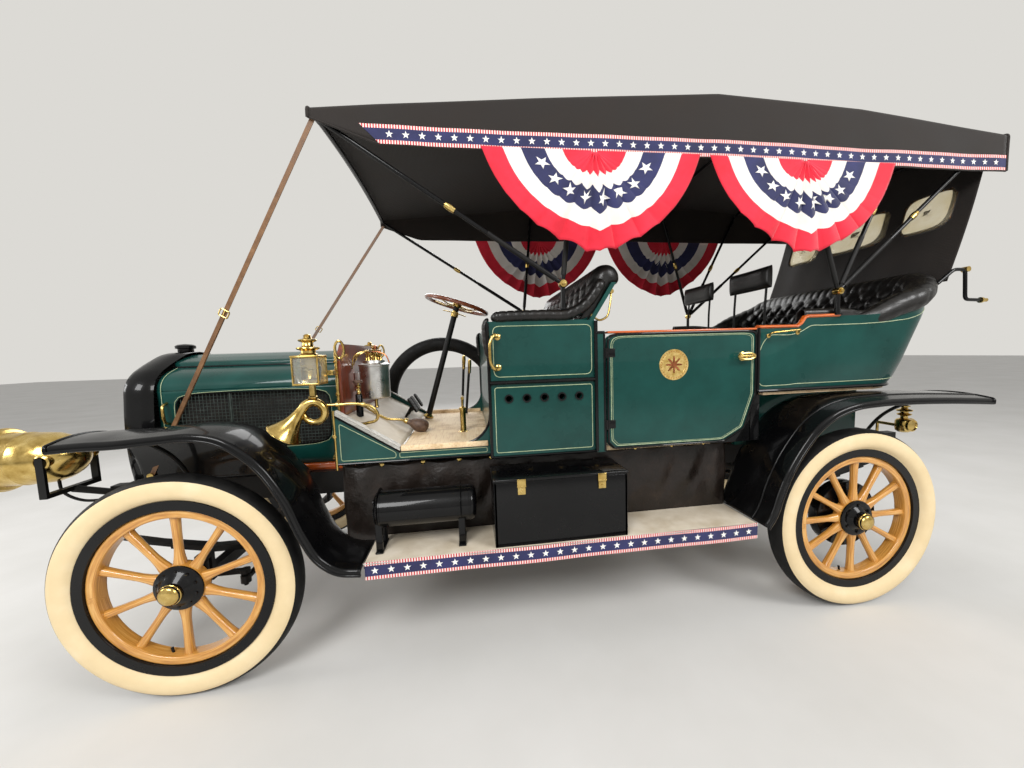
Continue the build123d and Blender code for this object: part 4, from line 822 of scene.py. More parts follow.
def makeFan(name, centre, flip):
    share = np.linspace(0.03, 1, 38)[:, None]
    turn = np.linspace(0, pi, 200)[None, :]
    middle = (share[1:] + share[:-1]) / 2
    limits = np.array([limit for limit, _ in fanForm["bands"]])
    band = np.array([kind for _, kind in fanForm["bands"]])[np.searchsorted(limits, middle)]
    cut = grid(share * fanForm["half"] * np.cos(turn) * mm, share * fanForm["half"] * np.sin(turn) * mm)
    patches = [patch(fanPoint(centre, share, turn), finish=band, uv=cut)]

    def flatPoint(u, v, lift):
        # the star is drawn in flat polar coordinates of the fan, then follows its folds
        return fanPoint(centre, np.hypot(u, v) / fanForm["half"], np.arctan2(v, u), lift)

    for reach, degrees in fanForm["stars"]:
        spot = reach * fanForm["half"]
        patches.append(starPatch(flatPoint, spot * cos(radians(degrees)), spot * sin(radians(degrees)),
                                 fanForm["star"], radians(degrees), 3, 1.8))
    patches = patches if flip > 0 else mirrored(patches)
    fan = makePiece(name, patches, ["redCotton", "whiteCotton", "navyCotton", "starPrint"],
                    stands=["bunting"], slot="bunting_cloth", thick=0.6)


makeTop()
makeCurtain()
topRibbon = makeRibbon("topRibbon", topRibbonPoint, 862, 3958, 76)
for k, centre in enumerate(fanForm["stations"]):
    makeFan(f"fanLeft{k}", centre, 1)
    makeFan(f"fanRight{k}", centre, -1)
print("top, ribbon and bunting made")


# body metal: bonnet, radiator, seat shell, doors and the flared rear tub

bodyForm = {
    "half": 652, "front": -1007, "bottom": 1121, "flare": 690, "corner": 190, "wall": 18,
    "backLow": 372, "backHigh": 553,
    # how far the flare has grown at each height
    "grow": [(1121, 0.0), (1160, 0.16), (1240, 0.36), (1350, 0.58), (1478, 0.84), (1640, 1.0)],
    # height of the metal's top edge along x
    "rim": [(-2070, 1640), (-2019, 1606), (-1960, 1556), (-1850, 1508), (-1700, 1490), (-1569, 1484),
            (-1264, 1480), (-1250, 1474),
            (-1236, 1440), (-1222, 1433), (-1007, 1433)],
}


def tubOutline(grow, inset, count=(48, 16, 12)):
    # one height's plan, left front corner round to the right one: a side
    # that swells to the flare, a quarter circle
    # round the rear corner and half of the straight back, then the same mirrored
    grow = np.asarray(grow, float)[..., None]
    run, bend, back = (np.linspace(0, 1, n) for n in count)
    rearX = behind(bodyForm["backLow"] + (bodyForm["backHigh"] - bodyForm["backLow"]) * grow) + inset
    halfRear = bodyForm["half"] - 12 + (bodyForm["flare"] - bodyForm["half"] + 12) * grow - inset
    halfFront, corner = bodyForm["half"] - inset, bodyForm["corner"] - inset * 0.5
    side = grid(bodyForm["front"] + (rearX + corner - bodyForm["front"]) * run,
                halfFront + (halfRear - halfFront) * np.sin(pi / 2 * np.clip(run * 1.3, 0, 1)) ** 2)
    angle = pi / 2 * bend[1:]
    turn = grid(rearX + corner - corner * np.sin(angle), halfRear - corner + corner * np.cos(angle))
    end = grid(rearX, (halfRear - corner) * (1 - back[1:]))
    left = np.concatenate([side, turn, end], axis=-2)
    return np.concatenate([left, (left * (1, -1))[..., -2::-1, :]], axis=-2)


def tubGrowth(z, beyond):
    # the flare's share at a height, going on beyond its table
    return along(bodyForm["grow"], z) + np.clip(z - 1640, 0, None) * beyond


def tubPoint(share, inset, rise=0.0):
    # share runs from the tub's lower edge to its rim (plus rise), column by column
    ground = tubOutline(0.84, inset)
    high = along(bodyForm["rim"], ground[:, 0]) + rise
    z = bodyForm["bottom"] + (high - bodyForm["bottom"]) * np.asarray(share, float)[:, None]
    grow = tubGrowth(z, 0.0012)
    columns = np.arange(z.shape[1])
    plan = tubOutline(grow, inset)[:, columns, columns]
    return np.concatenate([plan, z[..., None]], axis=-1)


def makeTub():
    share = np.linspace(0, 1, 26)
    outer, inner = tubPoint(share, 0), tubPoint(share, bodyForm["wall"])
    # out over the rim, down the inside and under, as one closed wall
    wall = np.concatenate([outer, inner[::-1], outer[:1]], axis=0)
    ends = [patch(np.stack([outer[:, k], inner[:, k]])) for k in (0, -1)]
    makePiece("rearTub", [patch(wall)] + ends, "coachGreen", stands=["tonneau_shell"], crease=50)
    # black bead along the lower edge and up the front edge, orange capping along the low part of the rim
    beads = [pipe(tubPoint([0], -3)[0], 9, 8)]
    beads += bothSides([pipe(tubPoint(share, -2)[:, 0], 8, 8, up=(1, 0, 0))])
    makePiece("tubBeads", beads, "blackEnamel")
    rim = tubPoint([1.0], bodyForm["wall"] / 2, 4)[0]
    capping = rim[(rim[:, 0] > -1440) & (rim[:, 1] > 0)]
    makePiece("tubCapping", bothSides([pipe(capping, 17, 12, flat=0.55)]), "orangeMahogany")
    # lining: a loop inside the side panel's edges, drawn on the tub's own surface
    low = [outer[2, k] for k in range(2, 58)]
    high = [outer[-4, k] for k in range(58, 1, -1)]
    loop = curveThrough(np.array(low[::3] + [outer[8, 61], outer[16, 61]] + high[::3]), 160, closed=True)
    loop[:, 1] += 0.8
    makePiece("tubLining", bothSides([pipe(loop, 1.9, 6, closed=True)]), "liningPaint")


bonnetForm = {
    "rear": 1030, "front": 1868, "half": 330, "bottom": 828, "meshMiddle": (1449, 1063),
              "meshHalf": (344, 137),
    # half section above the side panel, as (y, z): shoulder, hinge line, raised middle panel
    "crown": [(330, 1215), (325, 1243), (306, 1272), (278, 1293), (240, 1310), (205, 1322)],
    "panel": [(196, 1326), (193, 1346), (180, 1354), (120, 1373), (60, 1387), (0, 1392)],
}


def makeBonnet():
    form = bonnetForm
    rear, front, half = form["rear"], form["front"], form["half"]
    length = np.linspace(rear, front, 30)[None, :]
    shoulder = curveThrough(form["crown"], 22)
    middle = roundedPath(form["panel"], 5, steps=4)
    section = np.concatenate([shoulder, middle, (middle * (-1, 1))[-2::-1], (shoulder * (-1, 1))[::-1]])
    hood = grid(length, section[:, :1], section[:, 1:])
    # the side panel is a ring of quads from the mesh opening's edge out to the panel's own edge
    bottom, top = form["bottom"], form["crown"][0][1]
    midX, midZ = form["meshMiddle"]
    halfX, halfZ = form["meshHalf"]
    corners = [np.arctan2(z - midZ, x - midX) for x,
               z in ((front, top), (rear, top), (rear, bottom), (front, bottom))]
    angle = np.sort(np.concatenate([np.linspace(-pi, pi, 88, endpoint=False), corners]))
    c, s = np.cos(angle), np.sin(angle)
    inner = 1 / (np.abs(c / halfX) ** 7 + np.abs(s / halfZ) ** 7) ** (1 / 7)
    reachX = np.where(c > 0, front - midX, midX - rear) / np.maximum(np.abs(c), 1e-6)
    reachZ = np.where(s > 0, top - midZ, midZ - bottom) / np.maximum(np.abs(s), 1e-6)
    outer = np.minimum(reachX, reachZ)
    share = np.array([0, 0.02, 0.06, 0.3, 0.65, 1.0])[:, None]
    reach = inner + (outer - inner) * share
    turnedIn = np.array([-9, -2, 0, 0, 0, 0])[:, None]
    side = grid(midX + reach * c, half + turnedIn, midZ + reach * s)
    makePiece("bonnetSkin", [patch(hood)] + bothSides([patch(side, across=True)]), "coachGreen",
              stands=["bonnet"], thick=2.4, crease=32)
    # wire mesh: round wires both ways, the upright ones 2 mm further out than the level ones
    wires, pitch = [], 16
    for x in np.arange(midX - halfX + pitch, midX + halfX, pitch):
        span = np.linspace(-1, 1, 9) * halfZ * (1 - np.clip(np.abs(x - midX) / halfX, 0, 1) ** 7) ** (1 / 7)
        wires.append(pipe(grid(x, half - 7, midZ + span), 1.5, 4, up=(1, 0, 0)))
    for z in np.arange(midZ - halfZ + pitch, midZ + halfZ, pitch):
        span = np.linspace(-1, 1, 9) * halfX * (1 - np.clip(np.abs(z - midZ) / halfZ, 0, 1) ** 7) ** (1 / 7)
        wires.append(pipe(grid(midX + span, half - 9, z), 1.5, 4))
    wires.append(pipe([(midX + 110, half - 4, midZ - halfZ), (midX + 110, half - 4, midZ + halfZ)], 4, 6,
                      up=(1, 0, 0)))
    makePiece("bonnetMesh", bothSides(wires), "japannedWire", stands=["bonnet_mesh"])
    # blacked casing of the boiler close behind the mesh
    casing = block((midX - halfX - 12, half - 44, midZ - halfZ - 6),
                   (midX + halfX + 12, half - 38, midZ + halfZ + 10), 2)
    makePiece("boilerCasing", bothSides([casing]), "blackedPlate")
    edge = grid(midX + (inner + 9) * c, half + 0.8, midZ + (inner + 9) * s)
    hem = grid(midX + (inner + 1) * c, half + 0.5, midZ + (inner + 1) * s)
    side = [(half + 1, z) for z in (bottom + 12, top)] + [tuple(p) for p in shoulder[1:] + (1, 1)]
    lines = [pipe(edge, 1.7, 6, closed=True, up=(0, 1, 0))]
    for x in (front - 16, rear + 14):
        lines.append(pipe([(x, y, z) for y, z in side], 1.7, 6, up=(1, 0, 0)))
    makePiece("bonnetLining", bothSides(lines), "liningPaint")
    # piano hinges at the ridge lines, a bead round the mesh, brass handles and catches
    rods = bothSides([pipe([(rear + 4, 200, 1326), (front - 4, 200, 1326)], 5.5, 8),
                      pipe(hem, 3.5, 6, closed=True, up=(0, 1, 0))])
    makePiece("bonnetHinges", rods, "blackEnamel")
    handle = curveThrough([(front - 40, half, 1060), (front - 40, half + 26, 1070),
                           (front - 38, half + 34, 1110), (front - 36, half + 26, 1150),
                           (front - 36, half, 1160)], 24)
    brass = [pipe(handle, 6.5, 10, up=(1, 0, 0))]
    for x in (front - 60, rear + 60):
        brass += [block((x - 14, half - 2, 838), (x + 14, half + 9, 858), 3),
                  turned([(0, 0), (7, 0), (7, 10), (0, 12)], (x, half + 6, 868))]
    makePiece("bonnetBrass", bothSides(brass), "buffedBrass")
    makePiece("bonnetShelf", bothSides([block((1036, 240, 788), (1920, 352, 826), 6)]), "orangeMahogany")


radiatorForm = {"rear": 1868.4, "front": 2004, "rim": 34,
                # outline half as (y, z), from the foot up to the crown
                "outline": [(345, 700), (345, 796), (352, 830), (352, 1190), (346, 1232), (325, 1272),
                            (290, 1306), (240, 1334),
                            (170, 1366), (90, 1396), (0, 1406)]}


def makeRadiator():
    form = radiatorForm
    half = curveThrough(form["outline"], 60)
    half[:, 0] = np.where(half[:, 1] < 800, 346, half[:, 0])
    loop = np.concatenate([half, (half * (-1, 1))[-2::-1]])
    middle = np.array([0, 1040])
    # depth along x and how far each ring is drawn in towards the middle: back edge, rounded front, inner lip
    rows = [(form["rear"], 0), (form["front"] - 26, 0), (form["front"] - 9, 4), (form["front"] - 1, 14),
            (form["front"], 24), (form["front"] - 4, form["rim"]), (form["rear"] + 60, form["rim"] + 2)]
    reach = np.linalg.norm(loop - middle, axis=1)
    rings = []
    for x, inset in rows:
        ring = middle + (loop - middle) * (1 - inset / reach)[:, None]
        rings.append(np.column_stack([np.full(len(ring), x), ring]))
    rings = np.array(rings)
    cap = [(30, 1400), (34, 1410), (34, 1424), (44, 1428), (44, 1440), (34, 1446), (0, 1450)]
    shell = [patch(rings, across=True), turned(cap, (1936, 0, 0), axis=(0, 0, 1), steps=24)]
    makePiece("radiatorShell", shell, "blackEnamel", stands=["radiator_shell"], thick=3)
    # core: one sheet behind the shell's lip, with the rounded steps of fins up it and of tubes across
    y = np.arange(-320, 321, 5)[None, :]
    z = np.arange(725, 1376, 5)[:, None]
    x = 1953 + 6 * np.abs(np.sin(pi * z / 20)) + 6 * np.abs(np.sin(pi * y / 20))
    limit = np.interp(np.abs(y), half[::-1, 0], half[::-1, 1]) - 34
    core = grid(x, y, np.minimum(z, limit))
    makePiece("radiatorCore", [patch(core)], "blackedFins", stands=["radiator_core"], thick=4)


seatForm = {"front": 316, "rear": -178, "half": 636, "mould": 1215, "top": 1489,
            "vents": [231 - 82.5 * k for k in range(5)], "ventZ": 1140,
            "shell": [(1489, 0), (1530, 22), (1580, 55), (1630, 88), (1668, 108)]}


def liningLoop(corners, y, radius=22, gauge=1.7):
    # a lining stripe as a closed loop of (x, z) corners on a flat side
    loop = roundedPath(corners, radius, closed=True)
    return pipe(standing(loop, y), gauge, 6, closed=True, up=(0, 1, 0))


def makeSeatBox():
    form = seatForm
    half, front, rear = form["half"], form["front"], form["rear"]
    black = [pipe([(rear, half + 6, form["mould"]), (front, half + 6, form["mould"])], 10, 10, flat=0.9),
             pipe([(front + 1, half + 3, 872), (front + 1, half + 3, 1484)], 7, 8, up=(1, 0, 0)),
             pipe([(rear, half + 3, 872), (front, half + 3, 872)], 6, 8)]
    for x in form["vents"]:
        black.append(turned([(12, -20), (16, 1), (20, 3), (20, 6), (14, 7), (12, 3)],
                            (x, half, form["ventZ"]), steps=24))
    makePiece("seatBoxBeads", bothSides(black), "blackEnamel")
    lines = [liningLoop([(rear + 16, 1240), (front - 22, 1240), (front - 22, 1468), (rear + 16, 1468)],
                        half + 0.8, 30),
             liningLoop([(rear + 16, 892), (front - 22, 892), (front - 22, 1192), (rear + 16, 1192)],
                        half + 0.8, 12)]
    makePiece("seatBoxLining", bothSides(lines), "liningPaint")
    # brass grab handle on its two stands at the front of the upper panel
    x = front - 30
    bow = curveThrough([(x, half, 1432), (x + 4, half + 30, 1430), (x + 22, half + 42, 1400),
                        (x + 26, half + 44, 1352), (x + 22, half + 42, 1304), (x + 4, half + 30, 1274),
                        (x, half, 1272)], 40)
    brass = [pipe(bow, 7, 10, up=(1, 0, 0))]
    for z in (1420, 1284):
        brass += [pipe([(x - 14, half, z), (x + 16, half + 40, z)], 5.5, 8),
                  turned([(0, 0), (14, 0), (14, 4), (7, 8), (0, 8)], (x - 12, half, z), steps=20)]
    makePiece("grabHandles", bothSides(brass), "buffedBrass")
    # the green shell behind the seat: leans back, its corners rounded in plan
    levels = curveThrough(np.array(form["shell"], float), 14)
    plan = []
    for inset in (0, 14):
        run, bend, back = np.linspace(0, 1, 10), np.linspace(0, pi / 2, 10)[1:], np.linspace(0, 1, 8)[1:]
        corner, side = 90, half - 4 - inset
        left = np.concatenate([np.column_stack([60 - (60 + corner) * run, np.full(10, side)]),
                               np.column_stack([-corner * np.sin(bend) - corner,
                                                side - corner + corner * np.cos(bend)]),
                               np.column_stack([np.full(7, -2.0 * corner), (side - corner) * (1 - back)])])
        left[:, 0] += 2 * corner
        plan.append(np.concatenate([left, (left * (1, -1))[-2::-1]]))
    z, lean = levels[:, :1], levels[:, 1:]
    outer, inner = plan
    # the side wings rise only behind the arms: their top follows the lean
    wing = np.clip((rear + 60 - (outer[:, 0] + rear)) / 150, 0, 1) ** 1.5
    high = form["top"] + (z - form["top"]) * np.maximum(wing, 0.02)
    shellOut = grid(rear + outer[None, :, 0] - lean * wing, outer[None, :, 1], high)
    shellIn = grid(rear + inner[None, :, 0] + 14 - lean * wing, inner[None, :, 1], high)
    shell = np.concatenate([shellOut, shellIn[::-1], shellOut[:1]])
    makePiece("seatShell", [patch(shell)], "coachGreen", crease=50)


doorForm = {"front": -229, "rear": -1000, "half": 652, "bottom": 878, "top": 1424,
            "roundel": (-564, 1268, 73), "handle": (-922, 1297)}


def doorOutline():
    # corners round the leaf, 34 even steps between neighbours, smoothed six times by weights of 1, 2 and 1
    front, rear, bottom, top = (doorForm[name] for name in ("front", "rear", "bottom", "top"))
    corners = [(front, bottom + 30), (front - 30, bottom), (rear + 170, bottom), (rear + 60, bottom + 60),
               (rear, 1108), (rear, top), (front, top)]
    loop = np.array(corners, float)
    steps = np.linspace(0, 1, 34, endpoint=False)[None, :, None]
    ring = (loop[:, None] * (1 - steps) + np.roll(loop, -1, axis=0)[:, None] * steps).reshape(-1, 2)
    for _ in range(6):
        ring = (np.roll(ring, 1, axis=0) + ring * 2 + np.roll(ring, -1, axis=0)) / 4
    return ring, np.array([(front + rear) / 2, 1150.0])


def makeDoor(side, sign):
    form, half, body = doorForm, doorForm["half"], f"door_{side}"
    tag = side.title()
    ring, middle = doorOutline()
    drawn = lambda share: middle + (ring - middle) * share
    # rows from the back of the leaf, round its edge and in across its face: (share of the outline, y)
    rows = [(0.0, half - 30), (0.96, half - 30), (1.0, half - 27), (1.0, half - 3), (0.995, half),
            (0.9, half), (0.5, half), (0.0, half)]
    points = np.array([standing(drawn(share), y) for share, y in rows])
    sided = (lambda patches: patches) if sign > 0 else mirrored
    makePiece(f"doorLeaf{tag}", sided([patch(points, across=True)]), "coachGreen", body, [f"door_{side}"],
              crease=30)
    black = [pipe(standing(drawn(0.985), half + 1.5), 5.5, 8, closed=True, up=(0, 1, 0))]
    x = form["front"] + 3.5
    for z in (998, 1334):
        black += [turned([(0, -23), (7, -23), (7, 23), (0, 23)], (x, half + 7, z), axis=(0, 0, 1), steps=14),
                  block((x - 44, half - 1, z - 20), (x + 3, half + 4, z + 20), 1.5)]
    makePiece(f"doorBeads{tag}", sided(black), "blackEnamel", body, [f"door_{side}"])
    lines = [pipe(standing(drawn(share), half + 0.5), gauge, 6, closed=True, up=(0, 1, 0)) for share,
             gauge in ((0.945, 1.8), (0.925, 0.9))]
    makePiece(f"doorLining{tag}", sided(lines), "liningPaint", body)
    # capping of orange mahogany on the leaf's top edge
    top = [block((form["rear"] + 4, half - 34, form["top"]), (form["front"] - 4, half + 6, form["top"] + 10),
                 4)]
    makePiece(f"doorCapping{tag}", sided(top), "orangeMahogany", body)
    x, z = form["handle"]
    grip = ringAt((x, half + 34, z), (42, 0, 0), (0, 0, 15), 40)
    brass = [pipe(grip, 5.5, 8, closed=True, up=(0, 1, 0)),
             turned([(0, -2), (22, -2), (22, 3), (12, 6), (9, 34), (0, 36)], (x, half, z), steps=24),
             block((x - 40, half + 30, z - 5), (x + 40, half + 37, z + 5), 3)]
    makePiece(f"doorHandle{tag}", sided(brass), "buffedBrass", body)
    makeRoundel(side, sided, body)


def makeRoundel(side, sided, body):
    # generic gilt ornament: a ring, a beaded edge and a twelve-pointed rosette
    x, z, r = doorForm["roundel"]
    y = doorForm["half"]
    gilt = [turned([(0, 0.3), (r - 14, 0.3), (r - 13, 1.3), (r - 12, 0.3), (r - 4, 0.3), (r - 3, 1.6),
                    (r, 1.6), (r + 1, 0.2)], (x, y, z), steps=64)]
    angle = np.linspace(0, 2 * pi, 96, endpoint=False)
    for inner, outer, lift in ((0.2, 0.58, 1.8), (0.1, 0.32, 2.6)):
        wave = r * (inner + (outer - inner) * (0.5 + 0.5 * np.cos(8 * angle)) ** 1.5)
        petals = [np.column_stack([x + share * wave * np.cos(angle), np.full(96, y + lift),
                                   z + share * wave * np.sin(angle)]) for share in (0, 0.6, 1)]
        gilt.append(patch(np.array(petals), across=True, finish=1))
    for k in range(32):
        turn = 2 * pi * k / 32
        gilt.append(turned([(0, 0), (2.4, 0), (1.7, 1.8), (0, 2.2)],
                           (x + (r - 8.5) * cos(turn), y, z + (r - 8.5) * sin(turn)), steps=8, finish=1))
    makePiece(f"doorRoundel{side.title()}", sided(gilt), ["goldLeaf", "drawnCopper"], body, slot="brass")


def makeDoorwayPanels():
    # the doorway's lower rear corner: a quarter ellipse, filled out to the corner behind the door's own curve
    angle = np.linspace(pi, 1.5 * pi, 25)
    edge = np.column_stack([-790 + 180 * np.cos(angle), 1118 + 232 * np.sin(angle)])
    corner = np.maximum((-790, 1118) + 400 * np.column_stack([np.cos(angle), np.sin(angle)]), (-1006, 862))
    sheet = np.stack([standing(line, side) for line,
                      side in ((edge, 602), (edge, 609), (corner, 609), (corner, 602), (edge, 602))])
    # behind it the end and the back of the step under the seat
    ends = [block((-1056, 602, 862), (-1000, 609, 1118), 2),
            block((-1056, 436, 862), (-1050, 604, 1118), 2, along=1)]
    makePiece("doorwayPanels", bothSides([patch(sheet)] + ends), "blackEnamel")


makeTub()
makeBonnet()
makeRadiator()
makeSeatBox()
makeDoor("left", 1)
makeDoor("right", -1)
makeDoorwayPanels()
print("body metal made")


# leather: the rear seat's buttoned wrap, the front seat, its arms and the cushions

hideForm = {"diamond": (108, 112), "pleat": 58}


def diamonds(across, up):
    # buttoned hide: creases along both diagonals, swelling between them, buttons where they cross
    a = pi * (across / hideForm["diamond"][0] + up / hideForm["diamond"][1])
    b = pi * (across / hideForm["diamond"][0] - up / hideForm["diamond"][1])
    return np.sqrt(np.abs(np.sin(a) * np.sin(b)) + 1e-4)


def pleats(across):
    return np.abs(np.sin(pi * across / hideForm["pleat"])) ** 0.45


def makeRearHide():
    # columns go round the tub as its metal does; each column's loop starts inside at the cushion, climbs the
    # buttoned face, rolls over the rim and comes back against the outside
    rows, count = 96, (90, 54, 54)
    base = tubOutline(0.84, 0, count)
    high = along(bodyForm["rim"], base[:, 0])
    # 0 on the arms ahead of the top's pivot, 1 across the back
    back = np.clip((-1440 - base[:, 0]) / 420, 0, 1)
    back = back * back * (3 - 2 * back)
    keep = base[:, 0] < -1262
    travel = travelled(base)
    travel -= travel[-1] / 2
    # knots: inset from the tub's outside (positive inwards), height
    # above the rim, for the arms and for the back
    arms = np.array([(64, -150), (70, -80), (66, -10), (58, 26), (40, 40), (26, 30), (22, 8), (22, -60),
                     (40, -140)], float)
    full = np.array([(96, -290), (104, -180), (98, -70), (86, 20), (60, 80), (22, 96), (-14, 72), (-20, 26),
                     (-8, -4)], float)
    armLoop, fullLoop = curveThrough(arms, rows), curveThrough(full, rows)
    section = armLoop[:, None] * (1 - back)[None, :, None] + fullLoop[:, None] * back[None, :, None]
    inset, height = section[..., 0], section[..., 1]
    z = high[None, :] + height
    grow = tubGrowth(z, 0.0008)
    face = np.clip((40 - height) / 60, 0, 1) * (inset > 30)
    swell = 30 * diamonds(travel[None, :] + 0 * z, z - 1400) * face * (0.4 + 0.6 * back)[None, :]
    roll = 6 * pleats(travel)[None, :] * (1 - face) * back[None, :]
    inset = inset + swell + roll * np.sign(inset - 40) * 0.6
    z = z + roll * (height > 40)
    # the outline is linear in its growth with height and in its inset
    corners = [tubOutline(value, 0, count) for value in (0, 1)] + [tubOutline(0, 60, count)]
    plan = corners[0] + (corners[1] - corners[0]) * grow[...,
                                                         None] + (corners[2]
                                                                  - corners[0]) * (inset / 60)[..., None]
    points = np.concatenate([plan, z[..., None]], axis=-1)[:, keep]
    hide = makePiece("rearSeatHide", [patch(points)], "buttonedHide", stands=["rear_seat_back"], thick=5,
                     crease=70)
    # buttons at the crossings of the creases on the back
    spots = []
    for step in range(-1, 5):
        level = 1400 + step * hideForm["diamond"][1] / 2
        first = 0 if step % 2 == 0 else hideForm["diamond"][0] / 2
        for place in range(-9, 10):
            spot = first + place * hideForm["diamond"][0]
            near = int(np.argmin(np.abs(travel - spot)))
            if base[near, 0] < -1900 and abs(base[near, 1]) < 560:
                row = int(np.argmin(np.abs(z[:44, near] - level)))
                spots.append(np.array([*plan[row, near], z[row, near]]))
    buttons = [turned([(0, 6), (6, 5), (9, 2), (9, 0), (0, 0)], spot, axis=(1, 0, 0.15), steps=14)
               for spot in spots]
    makePiece("rearSeatButtons", buttons, "buttonedHide")


def padAlong(path, wide, high, up=(0, 1, 0), pleat=34, depth=2.6, power=0.8, sides=28):
    # a superellipse carried along a path, gathered across every few centimetres, its ends rounded to a point
    path = np.asarray(path, float)
    way = unit(np.gradient(path, axis=0))
    side = unit(np.cross(way, up))
    over = np.cross(side, way)
    travel = travelled(path)
    near = np.minimum(travel, travel[-1] - travel)
    rounding = np.sqrt(np.clip(1 - (1 - np.clip(near / (0.45 * wide), 0, 1)) ** 2, 0, 1))
    angle = np.linspace(0, 2 * pi, sides, endpoint=False)
    gather = depth * (np.abs(np.sin(pi * travel / pleat)) ** 0.5 - 1)
    c = signedPower(np.cos(angle), power)
    s = signedPower(np.sin(angle), power)
    a = (high / 2 + gather)[:, None] * c[None, :] * rounding[:, None]
    b = (wide / 2 + gather)[:, None] * s[None, :] * rounding[:, None]
    return patch(path[:, None] + a[..., None] * side[:, None] + b[..., None] * over[:, None], across=True)


def makeFrontHide():
    rear = seatForm["rear"]
    rows = 84
    knots = [(rear + 84, 1436), (rear + 66, 1500), (rear + 36, 1580), (rear + 4, 1660), (rear - 14, 1716),
             (rear - 44, 1748), (rear - 84, 1756), (rear - 124, 1738), (rear - 146, 1698), (rear - 142, 1664),
             (rear - 116, 1650), (rear - 84, 1610), (rear - 50, 1560), (rear - 18, 1500), (rear + 20, 1444),
             (rear + 50, 1430)]
    loop = curveThrough(knots, rows, closed=True)
    half = 628
    y = np.concatenate([half - 62 + 62 * np.sin(np.linspace(pi / 2, 0, 12)),
                        np.linspace(half - 62, -(half - 62), 130)[1:-1],
                        -(half - 62) - 62 * np.sin(np.linspace(0, pi / 2, 12))])
    end = np.clip((np.abs(y) - (half - 62)) / 62, 0, 1)
    shrink = np.sqrt(np.clip(1 - end ** 2, 0, 1))
    # towards its ends the section draws in to the middle of the roll
    heart = np.array((rear - 66, 1690))
    travel = travelled(loop)
    normal = unit(np.stack([np.gradient(loop[:, 1]), -np.gradient(loop[:, 0])], axis=-1))
    face = np.clip((1690 - loop[:, 1]) / 40, 0, 1) * (loop[:, 0] > rear - 40 - (loop[:, 1] - 1600) * 0.4)
    swell = (17 * diamonds(y[:, None], travel[None, :]) * face[None, :]
             + 5 * pleats(y)[:, None] * (1 - face)[None, :] - 8)
    section = loop[None] + normal[None] * swell[..., None]
    section = heart + (section - heart) * (0.12 + 0.88 * shrink[:, None, None])
    points = np.stack([section[..., 0], np.broadcast_to(y[:, None], section.shape[:2]), section[..., 1]],
                      axis=-1)
    caps = np.array([[(heart[0], y[0], heart[1])] * rows, [(heart[0], y[-1], heart[1])] * rows])
    points = np.concatenate([caps[:1], points, caps[1:]])
    back = makePiece("frontSeatHide", [patch(points, across=True)], "buttonedHide",
                     stands=["front_seat_back"], crease=70)
    # arms: from a rounded nose back along the box, then up the shell to the roll
    path = curveThrough([(300, 612, 1508), (200, 612, 1512), (60, 613, 1514), (-60, 614, 1518),
                         (-130, 615, 1552), (-190, 616, 1620), (-226, 612, 1676)], 150)
    arms = makePiece("frontArms", bothSides([padAlong(path, 84, 54, pleat=36)]), "buttonedHide", crease=70)
    # the arm's leather also wraps down the front post of the seat side
    nose = curveThrough([(312, 600, 1508), (326, 604, 1480), (328, 606, 1430), (324, 606, 1380),
                         (318, 606, 1330)], 50)
    post = makePiece("armNoses", bothSides([padAlong(nose, 62, 26, pleat=30, depth=1.5)]), "buttonedHide",
                     crease=70)


cushionForm = {
    # lowest and highest corner, then corner radius in plan
    "front": ((-150, -606, 1292), (288, 606, 1424), 46),
               "rear": ((-1896, -540, 1124), (-1358, 540, 1350), 60),
    "pressure": 4.0, "voxel": 0.007, "cap": 0.024,
}


def cushionPatch(low, high, corner):
    # rings of a rounded rectangle: up the boxing, in over the crown and under the base, crowned by a parabola
    low, high = np.array(low, float), np.array(high, float)
    middle, half = (low + high) / 2, (high - low) / 2
    steps = np.linspace(0, pi / 2, 7)
    angle = np.concatenate([steps + pi / 2 * k for k in range(4)])
    signX, signY = np.repeat([1, -1, -1, 1], 7), np.repeat([1, 1, -1, -1], 7)
    ring = np.stack([signX * (half[0] - corner) + corner * np.cos(angle),
                     signY * (half[1] - corner) + corner * np.sin(angle)], axis=-1)
    share = np.concatenate([np.linspace(0, 0.97, 12), [1.0, 1.0, 1.0, 1.0], np.linspace(0.97, 0, 12)])
    z = np.concatenate([np.full(12, low[2]), [low[2] + 8, low[2] + 40, high[2] - 40, high[2] - 12],
                        high[2] - 12 + 12 * (1 - np.linspace(0.97, 0, 12) ** 2)])
    points = np.concatenate([middle[:2] + ring[None] * share[:, None, None],
                             np.broadcast_to(z[:, None, None], (28, 28, 1))], axis=-1)
    return patch(points, across=True)


